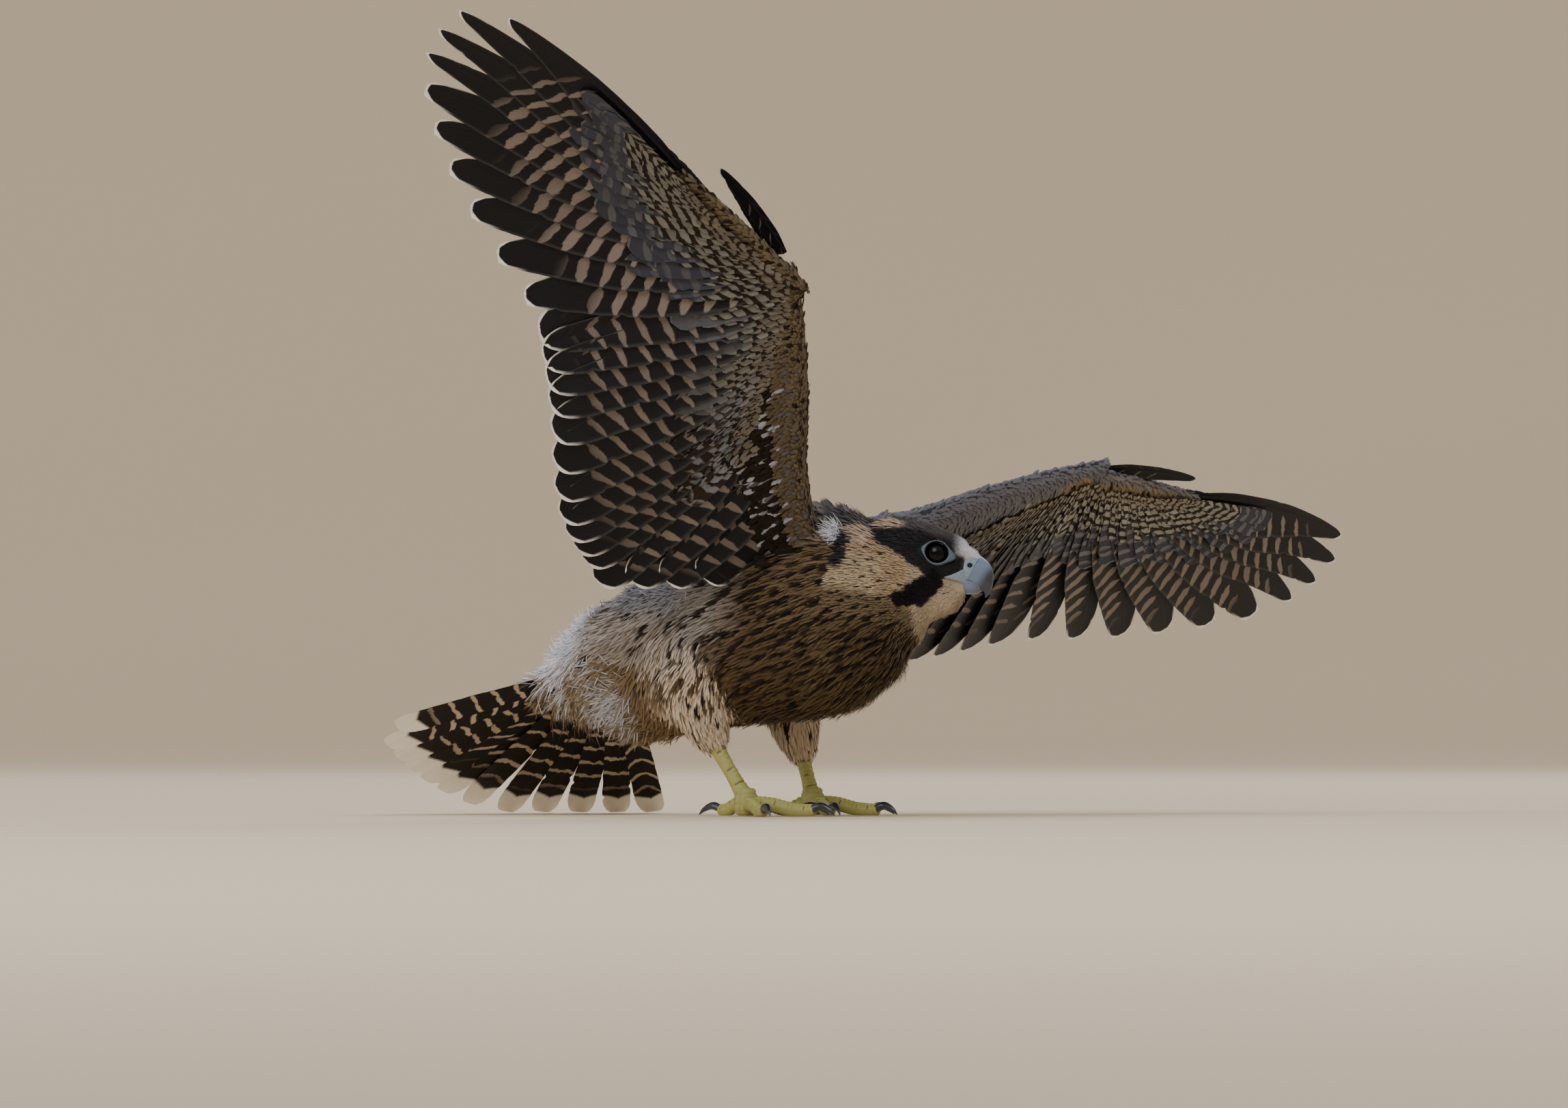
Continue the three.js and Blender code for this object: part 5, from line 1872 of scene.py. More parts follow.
class Skin:
    """One closed skin under the coat, drawn in from the solids' surface by the coat's depth.

    The shares say how much of the depth is taken, and socket how deep the eyes' sockets go in.
    """

    voxel = 1.5
    body_share = 0.85
    wing_share = 0.5
    socket = 4.6

    def __init__(self, guides: Guides, markings: Markings, rng: np.random.Generator) -> None:
        """Joins the flesh, closes it into one skin, draws it in and paints it.

        Args:
            guides: How deep the coat is.
            markings: The colours.
            rng: Jitters the feathers' roots.
        """
        self.rng = rng
        self.guides, self.markings = guides, markings
        skins = [loft(TRUNK.rings(3, 32)[0]), loft(HEAD.rings(4, 32)[0]), HEAD.forehead()]
        skins += [loft(THIGHS[side].rings(4, RING)[0]) for side in Side]
        for wing in WINGS:
            skins += wing.flesh()
        mesh = self._closed(mesh_piece("rough_skin", *joined(skins), bpy.data.materials.new("rough")))
        normals = self._read(mesh.vertices, "normal", 3)
        own = from_row(self._read(mesh.vertices, "co", 3))
        _, depths, notes, regions = guides.at(own)
        share = np.where(regions >= Region.WING_RIGHT.value, self.wing_share, self.body_share)
        own = own - normals * (depths * share)[:, None]
        for eye in EYES:
            inside = smooth(0.02, 0.25, eye.in_ring(own, 0.4))
            own = own - np.outer(inside * self.socket * eye.side.value, HEAD.left)
        mesh.vertices.foreach_set("co", to_row(own).astype(np.float32).ravel())
        mesh.update()
        paint_points(mesh, "ground", markings.at(own, notes, regions).ground * 0.8)
        mesh.materials.clear()
        self.piece = link("skin", mesh)
        self._unwrap()
        self.mesh = self.piece.data
        self.faces = self._read(self.mesh.polygons, "vertices", 4, int)
        self.points = from_row(self._read(self.mesh.vertices, "co", 3))
        self.normals = self._read(self.mesh.polygons, "normal", 3)
        self.map = self._read(self.mesh.uv_layers["OFBake"].data, "uv", 2).reshape(-1, 4, 2)

    def _closed(self, rough: bpy.types.Object) -> bpy.types.Mesh:
        """One closed and softened mesh over the rough skins."""
        remesh = rough.modifiers.new("close", "REMESH")
        remesh.mode = "VOXEL"
        remesh.voxel_size = self.voxel * MM
        rough.modifiers.new("soften", "SMOOTH").iterations = 6
        return settled(rough, "skin")

    @staticmethod
    def _read(rows: object, name: str, width: int, kind: type = float) -> Array:
        """A block of values from a mesh."""
        values = np.zeros(len(rows) * width, dtype=np.int32 if kind is int else np.float32)
        rows.foreach_get(name, values)
        return values.reshape(-1, width).astype(kind)

    def _unwrap(self) -> None:
        """Unwraps the skin's own shape for the bake."""
        self.piece.data.uv_layers.new(name="OFBake")
        bpy.ops.object.select_all(action="DESELECT")
        self.piece.select_set(True)
        bpy.context.view_layer.objects.active = self.piece
        bpy.ops.object.mode_set(mode="EDIT")
        bpy.ops.mesh.select_all(action="SELECT")
        bpy.ops.uv.smart_project(angle_limit=math.radians(75), island_margin=0.002)
        bpy.ops.object.mode_set(mode="OBJECT")

    def scatter(self, count: Array) -> tuple:
        """Random places on the faces.

        Args:
            count: How many on each face.

        Returns:
            Places, normals and places on the bake map.
        """
        face = np.repeat(np.arange(len(self.faces)), count)
        a, b = self.rng.random((2, len(face), 1))
        corners = self.points[self.faces[face]]
        flat = self.map[face]
        weights = [(1 - a) * (1 - b), a * (1 - b), a * b, (1 - a) * b]
        place = sum(w * corners[:, k] for k, w in enumerate(weights))
        bake = sum(w * flat[:, k] for k, w in enumerate(weights))
        return place, self.normals[face], bake

    def thin(self, places: Array, gaps: Array) -> Array:
        """Picks places that keep their distance from each other.

        Args:
            places: The places to pick from.
            gaps: The distance that each keeps.

        Returns:
            The rows of the picked places.
        """
        tree = tree_of(places)
        blocked = np.zeros(len(places), dtype=bool)
        kept = []
        for i in self.rng.permutation(len(places)):
            if not blocked[i]:
                kept.append(i)
                blocked[[j for _, j, _ in tree.find_range(places[i], gaps[i])]] = True
        return np.array(kept)


@dataclass(frozen=True)
class Layer:
    """A layer of small feathers.

    Args:
        name: The piece's name.
        leaf: The feather's outline.
        regions: Where it grows.
        reach: The stretch of the body's length that it grows on.
        scale: How much larger its feathers and the gaps between them are than the markings ask for.
        upper: Whether it grows only on the bird's upper side.
        loose: How far the feathers swing from the lie, in degrees.
        spotted: Whether the drops lie over it.
    """

    name: str
    leaf: Leaf
    regions: tuple | dict
    reach: tuple = (-FAR, FAR)
    scale: float = 1.0
    upper: bool = False
    loose: float = 6.0
    spotted: bool = True


LAYERS = (
    Layer("breast_coat", HAIR, (Region.TRUNK,), (8.0, FAR)),
    Layer("belly_coat", HAIR, (Region.TRUNK,), (-62.0, 8.0)),
    Layer("vent_coat", HAIR, (Region.TRUNK,), (-FAR, -62.0), loose=9),
    Layer("leg_coat", HAIR, LEGGED),
    Layer("head_coat", HAIR, (Region.HEAD,), loose=5),
    Layer("wing_coat", SCALE, WINGED, loose=5),
    Layer("mantle_feathers", CONTOUR, (Region.TRUNK,), (-100.0, FAR), 4.8, upper=True, loose=5,
          spotted=False),
)


class Coat:
    """The small feathers over the skin.

    patch is the size of a feather's patch on the bake map; tries are the places drawn on each
    face of the skin, on the head and elsewhere.
    """

    patch = 0.003
    head_reach = 42.0
    tries = (12, 4)

    def __init__(self, skin: Skin, rng: np.random.Generator) -> None:
        """Scatters the places that every layer picks its roots from, and lays out the drops.

        Args:
            skin: The skin that it grows on.
            rng: Draws the places and what varies.
        """
        self.skin, self.rng = skin, rng
        middles = skin.points[skin.faces].mean(axis=1)
        on_head = np.linalg.norm(middles - HEAD.centre, axis=1) < self.head_reach
        self.places, self.normals, self.bake = skin.scatter(np.where(on_head, *self.tries))
        self.ways, self.depths, self.notes, self.regions = skin.guides.at(self.places, 5)
        self.along = square_to(self.ways, self.normals)
        self.marks = skin.markings.at(self.places, self.notes, self.regions)
        self.clear = self._clear_of_bare_parts()
        dropped = np.flatnonzero(self.marks.apart < DROP_LIMIT)
        dropped = dropped[skin.thin(self.places[dropped], self.marks.apart[dropped])]
        side = np.cross(self.normals[dropped], self.along[dropped])
        self.spots = Spots(self.places[dropped], self.along[dropped], side, self.marks.picked(dropped), rng)

    def _clear_of_bare_parts(self) -> Array:
        """Which places carry feathers: not those on the eyes, the bill and the corners of the mouth.

        Returns:
            True for each place that carries feathers.
        """
        clear = np.ones(len(self.places), dtype=bool)
        for eye in EYES:
            x, _, _ = eye.seen(self.places)
            clear &= eye.in_ring(self.places, 0.35) < 0
            clear &= (eye.in_ring(self.places, 1.5) < 0) | (x <= 0)
        f, out, u = HEAD.of(self.places).T
        back = 32.5 + 0.3 * np.maximum(0.0, u - 1.5) + 1.7 * np.maximum(0.0, u - 8.3)
        clear &= ~((f > back) & (np.abs(out) < 8.2) & (u < 12.6) & (u > -10.6))
        gape = np.array(Bill.gape)[::-1]
        middle, tall = np.interp(f, gape[:, 0], gape[:, 1]), np.interp(f, gape[:, 0], gape[:, 2])
        return clear & ~((f > 25.8) & (np.abs(u - middle) < tall * 0.9))

    def plumes(self, layer: Layer) -> tuple:
        """Picks roots for a layer and shapes its feathers.

        Args:
            layer: The layer.

        Returns:
            The plumes and their places on the bake map.
        """
        x = self.places[:, 0]
        wanted = np.isin(self.regions, [region.value for region in layer.regions]) & self.clear
        wanted &= (x > layer.reach[0]) & (x <= layer.reach[1])
        if layer.upper:
            wanted &= (self.notes[:, 1] > 0.42) & (self.marks.fluff < 0.3)
        index = np.flatnonzero(wanted)
        index = index[self.skin.thin(self.places[index], self.marks.gap[index] * layer.scale)]
        n, m = len(index), self.marks.picked(index)
        normal, along = self.normals[index], self.along[index]
        swing = np.radians(self.rng.normal(0, 1, n) * (layer.loose + 38 * m.fluff))[:, None]
        along = unit(along * np.cos(swing) + np.cross(normal, along) * np.sin(swing))
        side = np.cross(normal, along)
        large = layer.scale > 1
        wide = m.width * (1.4 * layer.scale if large else 1.0) * (1 - 0.55 * m.fluff)
        length = m.length * (1.2 if large else 1.0)
        length = length * (1 + 0.2 * self.rng.normal(size=n)).clip(0.55, 1.5)
        depth = self.depths[index] * (1 + 0.3 * self.rng.normal(size=n) + 0.9 * m.fluff).clip(0.3, 2.4)
        ground, edge = m.ground, np.full(n, 0.75)
        if layer.spotted:
            share, tint = self.spots.over(self.places[index] + along * length[:, None] * 0.75)
            share = np.where(m.apart < DROP_LIMIT, share, 0.0)[:, None]
            ground = ground * (1 - share) + tint * share
            edge = m.edge * (1 - share[:, 0])
        form, lay = (np.outer(values, UPWARD) for values in (edge, self.rng.random(n)))
        tone = (1 + 0.11 * self.rng.normal(size=(n, 1))).clip(0.6, 1.4)
        plumes = Plumes(
            root=self.places[index] - normal * 0.25, along=along, side=side, normal=normal, length=length,
            width=wide, lift=1.7 * depth / length, bend=-0.8 * depth / length,
            ground=ground * tone, fringe=m.fringe, form=form, lay=lay,
        )
        return plumes, self.bake[index]

    def build(self, finish: bpy.types.Material) -> None:
        """Makes every layer's piece."""
        for layer in LAYERS:
            plumes, bake = self.plumes(layer)
            gathered = FeatherMesh(layer.name)
            gathered.add_leaves(layer.leaf, plumes, bake, self.patch)
            hand_in(gathered.make(finish), "plumage")


# Big feathers


class BigFeathers:
    """Flight feathers, tail feathers and the large coverts, each with its own strip of the bake map."""

    def __init__(self, name: str, total: int, across: int) -> None:
        """Starts an empty piece.

        Args:
            name: The piece's name.
            total: How many feathers will be added.
            across: How many strips stand side by side on the map.
        """
        self.sheets = FeatherMesh(name)
        self.across = across
        self.down = math.ceil(total / across)
        self.made = 0

    def add(self, vane: Vane, rng: np.random.Generator, ground: Array, mark: Array, fringe: Array,
            form: tuple, lay: tuple, above: float = -FAR) -> None:
        """Adds one feather.

        Args:
            vane: Its shape.
            rng: Draws what varies.
            ground: Its main colour.
            mark: The colour of its bars.
            fringe: The colour of its edge.
            form: Number of bars, how much of each is pale and where they end.
            lay: Their share of the outer web, their slant, and a number of the feather's own.
            above: The height that it is kept above.
        """
        points, faces, place = vane.grid(rng)
        points[:, 2] = np.maximum(points[:, 2], above)
        column, row = self.made % self.across, self.made // self.across
        corner = np.array([column / self.across, row / self.down])
        size = np.array([0.92 / self.across, 0.96 / self.down])
        values = {"ground": ground, "mark": mark, "fringe": fringe, "form": form, "lay": lay}
        self.sheets.add_sheet(points, faces, place, corner + place * size, values)
        self.made += 1


class WingFeathers:
    """The feathers of one wing."""

    tertials = (0.86, 0.72, 0.56)
    alula_shares = (1.0, 0.86, 0.72, 0.58)
    bar_gap = 12.3

    def __init__(self, wing: Wing, rng: np.random.Generator) -> None:
        """Keeps the wing and its own random draws."""
        self.wing, self.rng = wing, rng
        self.bars_end = 0.76 if wing.side is Side.RIGHT else 0.88

    def _vary(self, share: float = 0.1) -> float:
        """A factor near 1 for a tone or a size."""
        return 1 + share * float(self.rng.normal())

    def flights(self, finish: bpy.types.Material) -> None:
        """Primaries, secondaries, tertials and the alula.

        Args:
            finish: Their finish.
        """
        side = self.wing.side.word
        lengths = (1.0,) * (LAST_PLACE + 1) + self.tertials
        big = BigFeathers(f"flight_feathers_{side}", len(lengths) + len(self.alula_shares), 15)
        for place, share in enumerate(lengths):
            vane = self.wing.flight(place, share)
            outer = max(0.0, 3 - place)
            tone, dark, pale, end, reach, slant = 0.8, 1.3, 0.38, 0.93, 0.6, 0.07
            if place < FIRST_SECONDARY:
                tone, dark, reach, slant = 1.0, 1.0, 0.0, -0.05
                pale, end = 0.54 - 0.07 * outer, self.bars_end - 0.03 * outer
            bar = FLIGHT_BAR * self._vary() * tone
            ground = FLIGHT * self._vary() * dark
            own = float(self.rng.random())
            big.add(vane, self.rng, ground, bar, FLIGHT_EDGE, (vane.length / self.bar_gap, pale, end),
                    (reach, slant, own))
        for vane in self._alula():
            big.add(vane, self.rng, FLIGHT * self._vary(), FLIGHT_BAR * 0.6, FLIGHT_EDGE * 0.6,
                    (6, 0.2, 0.7), (0.3, 0.1, float(self.rng.random())))
        hand_in(big.sheets.make(finish), "flight_feathers", f"wing_arm_{side}", f"wing_hand_{side}",
                f"alula_{side}")

    def _alula(self) -> list:
        """The small stiff feathers on the thumb.

        Returns:
            Their shapes.
        """
        along = unit(self.wing.alula_run)
        root = self.wing.wrist + self.wing.thumb
        trailing = square_to(self.wing.hand_trail, along)
        return [
            Vane(root + trailing * 1.6 * i - self.wing.under_hand * 0.8 * i, along, self.wing.hand_trail,
                 self.wing.under_hand, np.linalg.norm(self.wing.alula_run) * share, 5.4, 3.2,
                 outline=POINTED, bow=2, tilt=3, rows=24)
            for i, share in enumerate(self.alula_shares)
        ]

    def coverts(self, finish: bpy.types.Material) -> None:
        """The rows of coverts on both faces.

        Args:
            finish: Their finish.
        """
        laid = [(row, face, float(place)) for row in COVERT_ROWS for face in Face
                for place in np.arange(0.1, LAST_PLACE + 0.4, row.step)]
        big = BigFeathers(f"coverts_{self.wing.side.word}", len(laid), 24)
        for row, face, place in laid:
            vane = self.wing.covert(place, row, face)
            vane.length *= self._vary(0.08)
            vane.inner *= self._vary(0.12)
            vane.root = vane.root + vane.along * 1.4 * float(self.rng.normal())
            ground, mark, fringe, (gap, pale, end), lay = self._covert_look(row, face, place)
            # Painted shade: marks and edges of the right wing's lower coverts are darkened, as that side
            # lies in shade.
            if self.wing.side is Side.RIGHT and face is Face.UNDER:
                mark, fringe = mark * RIGHT_UNDER_PAINTED_SHADE, fringe * RIGHT_UNDER_PAINTED_SHADE
            big.add(vane, self.rng, ground * self._vary(), mark * self._vary(), fringe,
                    (vane.length / gap, pale, end), (*lay, float(self.rng.random())))
        hand_in(big.sheets.make(finish), "flight_feathers")

    @staticmethod
    def _covert_look(row: CovertRow, face: Face, place: float) -> tuple:
        """Colours and marks of a covert.

        Args:
            row: Its row.
            face: The face of the wing that it lies on.
            place: Its place along the wing.

        Returns:
            Main colour, bar colour, edge colour, (gap of the bars, pale share, end), (outer share, slant).
        """
        if face is Face.UPPER:
            return SLATE * 0.85, SLATE, SLATE_EDGE, (14, 0.0, 0.9), (0.0, 0.0)
        arm, body = float(smooth(8.5, 12, place)), float(smooth(14.5, 17.5, place))
        if row.kind is CovertKind.GREATER:
            ground = mix(mix(COVERT, GREY_DOWN * 0.5, arm), STREAK * 1.2, body)
            mark = mix(mix(COVERT_BAR * 0.8, GREY_DOWN * 0.6, arm), COVERT_BAR * 1.5, body)
            return ground, mark, COVERT_BAR, (10.0, 0.5, 0.97), (1.0, 0.1)
        mark = mix(LESSER, COVERT_BAR * 1.6, body)
        if row.kind is CovertKind.MEDIAN:
            return STREAK * 0.8, mark, mark, (8.6, mix(0.66, 0.8, arm), 1.3), (1.0, mix(0.3, 0.12, arm))
        return STREAK, mix(LESSER, LEADING * 1.2, 0.5), LEADING, (7.0, mix(0.8, 0.95, arm), 1.3), (1.0, 0.2)


@dataclass(frozen=True)
class Tail:
    """Twelve feathers in a fan, the lower ones laid on the ground."""

    count: int = 12
    length: float = 136.0
    far_fan: float = 46.0
    near_fan: float = 32.0
    yaw: float = 10.0
    pitch: float = 32.0
    roll: float = 24.0
    drop: float = 0.9
    far_shorter: float = 3.0
    near_shorter: float = 2.5
    last_shorter: float = 10.0
    inner: float = 9.0
    outer: float = 6.5
    root: tuple = (-118, 14, 77.5)
    apart: float = 1.7

    def frame(self) -> tuple:
        """The tail's axis, its left and its upper side."""
        level = turned(-FORWARD, UPWARD, -self.yaw)
        left0 = unit(np.cross(level, UPWARD))
        axis = turned(level, left0, -self.pitch)
        left = turned(left0, axis, self.roll)
        return axis, left, unit(np.cross(left, axis))

    def feather(self, i: int) -> Vane:
        """One feather, raised until it touches the ground with no more than its tip.

        Args:
            i: Its number, from the near side to the far side.

        Returns:
            Its shape.
        """
        axis, left, up = self.frame()
        middle = (self.count - 1) / 2
        place = i - middle
        sign, rank = math.copysign(1, place), abs(place) - 0.5
        fan, shorter, step = self.near_fan, self.near_shorter, 0
        if sign > 0:
            fan, shorter, step = self.far_fan, self.far_shorter, 1
        angle = math.radians(fan * place / middle)
        along = axis * math.cos(angle) + left * math.sin(angle)
        root = vec(*self.root) + left * place * self.apart + up * (5 - self.drop * (2 * rank + step))
        length = self.length - shorter * rank - (self.last_shorter if i == 0 else 0)
        vane = Vane(root, along, left * -sign, -up, length, self.inner, self.outer, outline=TAIL_OUTLINE,
                    bow=0, tilt=2, ragged=0.07, cup=0.06)
        for _ in range(6):
            lowest = vane.grid(np.random.default_rng(0))[0][:, 2].min()
            if lowest > 0:
                break
            vane.along = unit(vane.along + vec(0, 0, (0.1 - lowest) / self.length))
        return vane

    def build(self, finish: bpy.types.Material, rng: np.random.Generator) -> None:
        """Makes the fan.

        Args:
            finish: The feathers' finish.
            rng: Draws what varies.
        """
        big = BigFeathers("tail_feathers", self.count, self.count)
        for i in range(self.count):
            vane = self.feather(i)
            tone = 1 + 0.12 * float(rng.normal())
            form = (9.2 + float(rng.random()), 0.3, 0.86)
            lay = (1.0, 0.05 * float(rng.normal()) - 0.02, float(rng.random()))
            big.add(vane, rng, TAIL * tone, TAIL_BAR * tone, TAIL_TIP, form, lay, above=FLOOR_GAP)
        hand_in(big.sheets.make(finish), "tail_feathers", "tail")


# Bill


@dataclass(frozen=True)
class Bill:
    """Cere, upper and lower bill along curved middle lines: [forward, height, wide, up, down, slope]."""

    cere: tuple = (
        (33.0, 1.6, 7.4, 11.4, 6.4, 2), (36.0, 1.9, 7.0, 10.4, 6.6, -6), (38.6, 2.1, 6.4, 9.0, 6.8, -12),
    )
    upper: tuple = (
        (38.8, 2.1, 6.35, 8.9, 6.8, -13), (42.2, 1.4, 5.5, 7.6, 6.6, -24), (45.0, -0.4, 4.5, 5.9, 6.4, -40),
        (46.6, -3.0, 3.4, 3.9, 4.6, -56), (47.8, -5.8, 2.0, 2.3, 2.4, -72), (48.1, -8.6, 1.0, 1.1, 1.0, -82),
        (47.9, -10.2, 0.35, 0.4, 0.4, -88),
    )
    lower: tuple = (
        (29.0, -6.4, 6.9, 2.2, 4.0, -10), (35.0, -6.5, 6.3, 2.6, 4.2, -8), (40.0, -6.3, 4.9, 2.6, 3.8, 2),
        (43.0, -5.9, 3.5, 2.2, 3.0, 8), (45.2, -5.4, 1.6, 1.2, 1.4, 14),
    )
    round_section: tuple = ((0, 1), (0.7, 0.95), (1, 0.5), (0.97, -0.1), (0.78, -0.6), (0.42, -0.9), (0, -1))
    section: tuple = ((0, 1), (0.45, 0.86), (0.85, 0.4), (1, -0.2), (0.98, -0.8), (0.84, -1), (0, -0.82))
    nostril: tuple = (36.6, 3.4)
    nostril_radius: float = 1.45
    gape: tuple = (
        (36.5, -2.4, 4.6), (33.8, -3.5, 3.5), (31.4, -4.8, 2.3), (29.2, -5.9, 1.4), (27.4, -6.7, 0.8),
        (25.8, -7.3, 0.2),
    )

    @staticmethod
    def _rings(stations: tuple, section: tuple, per: int, count: int) -> list:
        """Smooth rings along the stations.

        Args:
            stations: Rows of the middle line.
            section: The outline of the left half, from the top down.
            per: Rings to each station.
            count: Points to each ring.

        Returns:
            The rings, in the head's frame.
        """
        mirrored = [(-out, height) for out, height in section[1:-1]][::-1]
        outline = [*section, *mirrored]
        closed = Spline([outline[-1], *outline, outline[0], outline[1]])
        first, last = 1 / (len(outline) + 2), (len(outline) + 1) / (len(outline) + 2)
        around = [closed.at(first + (last - first) * k / count) for k in range(count)]
        sizes, steps = Spline(stations), (len(stations) - 1) * per
        rings = []
        for k in range(steps + 1):
            forward, height, wide, up, down, slope = sizes.at(k / steps)
            lean = math.radians(slope)
            upwards = vec(-math.sin(lean), 0, math.cos(lean))
            rings.append(np.array([
                vec(forward, out * wide, height) + upwards * share * (up if share > 0 else down)
                for out, share in around
            ]))
        return rings

    def build(self, horn: bpy.types.Material, bare: bpy.types.Material) -> None:
        """Makes the cere, both halves of the bill, and the soft corners of the mouth.

        Args:
            horn: The finish of the bill.
            bare: The finish of the cere and the corners of the mouth.
        """
        self._cere(bare)
        points, faces = loft(self._rings(self.upper, self.section, 12, 64))
        tooth = smooth(1.6, 0.3, np.abs(points[:, 0] - 44.6)) * smooth(-4.2, -5.4, points[:, 2])
        points[:, 2] -= 0.8 * tooth
        self._horn("hook", points, faces, horn, smooth(42, 48, points[:, 0] - 0.4 * points[:, 2]), "upper")
        points, faces = loft(self._rings(self.lower, self.round_section, 12, 48))
        self._horn("below", points, faces, horn, smooth(38, 45, points[:, 0]) * 0.6, "lower")
        curve = Spline(self.gape)
        for side in Side:
            rings = []
            for k in range(25):
                f, middle, tall = curve.at(k / 24)
                centre = vec(f, side.value * (HEAD.side(f, middle) - 0.35), middle)
                rings.append(oval(centre, LEFTWARD, UPWARD, (0.9, tall, tall), RING))
            points, faces = loft(rings)
            painted_piece(f"mouth_corner_{side.word}", (HEAD.on(points), faces), bare, CERE, "bare_skin")

    def _cere(self, bare: bpy.types.Material) -> None:
        """The bare skin over the root of the bill, with a round nostril and its knob on each side.

        Args:
            bare: Its finish.
        """
        points, faces = loft(self._rings(self.cere, self.section, 22, 260))
        gap = np.hypot(points[:, 0] - self.nostril[0], points[:, 2] - self.nostril[1])
        pit = smooth(self.nostril_radius, self.nostril_radius * 0.7, gap)
        knob = smooth(0.55, 0.25, gap)
        rim = smooth(self.nostril_radius * 1.7, self.nostril_radius * 1.1, gap) - pit
        points[:, 1] -= np.sign(points[:, 1]) * (2.2 * pit - 1.5 * knob - 0.25 * rim)
        # Painted shade: the nostril's pit is darkened almost to black, the knob in it less so.
        tone = (1 - 0.93 * pit * (1 - 0.6 * knob))[:, None]
        painted_piece("bill_cere", (HEAD.on(points), faces), bare, CERE * tone, "bare_skin", "cere")

    @staticmethod
    def _horn(word: str, points: Array, faces: list, finish: bpy.types.Material, dark: Array,
              half: str) -> None:
        """Makes one half of the bill, darker towards its tip.

        Args:
            word: The last word of the piece's name.
            points: Its points, in the head's frame.
            faces: Its faces.
            finish: Its finish.
            dark: The share of the tip's colour at each point.
            half: The last word of the name of the solid that it stands for.
        """
        dark = dark[:, None]
        ground = BILL * (1 - dark) + BILL_TIP * dark
        painted_piece(f"bill_{word}", (HEAD.on(points), faces), finish, ground, "bill_horn", f"bill_{half}")


# Feet


@dataclass(frozen=True)
class Toe:
    """A toe: its bearing from straight ahead, its length, radius and the length of its claw."""

    name: str
    bearing: float
    length: float
    radius: float
    claw: float


TOES = (
    Toe("inner", 38, 30, 3.6, 17), Toe("middle", 2, 42, 3.6, 15), Toe("outer", -40, 33, 3.2, 13),
    Toe("hind", 172, 18, 3.5, 18),
)


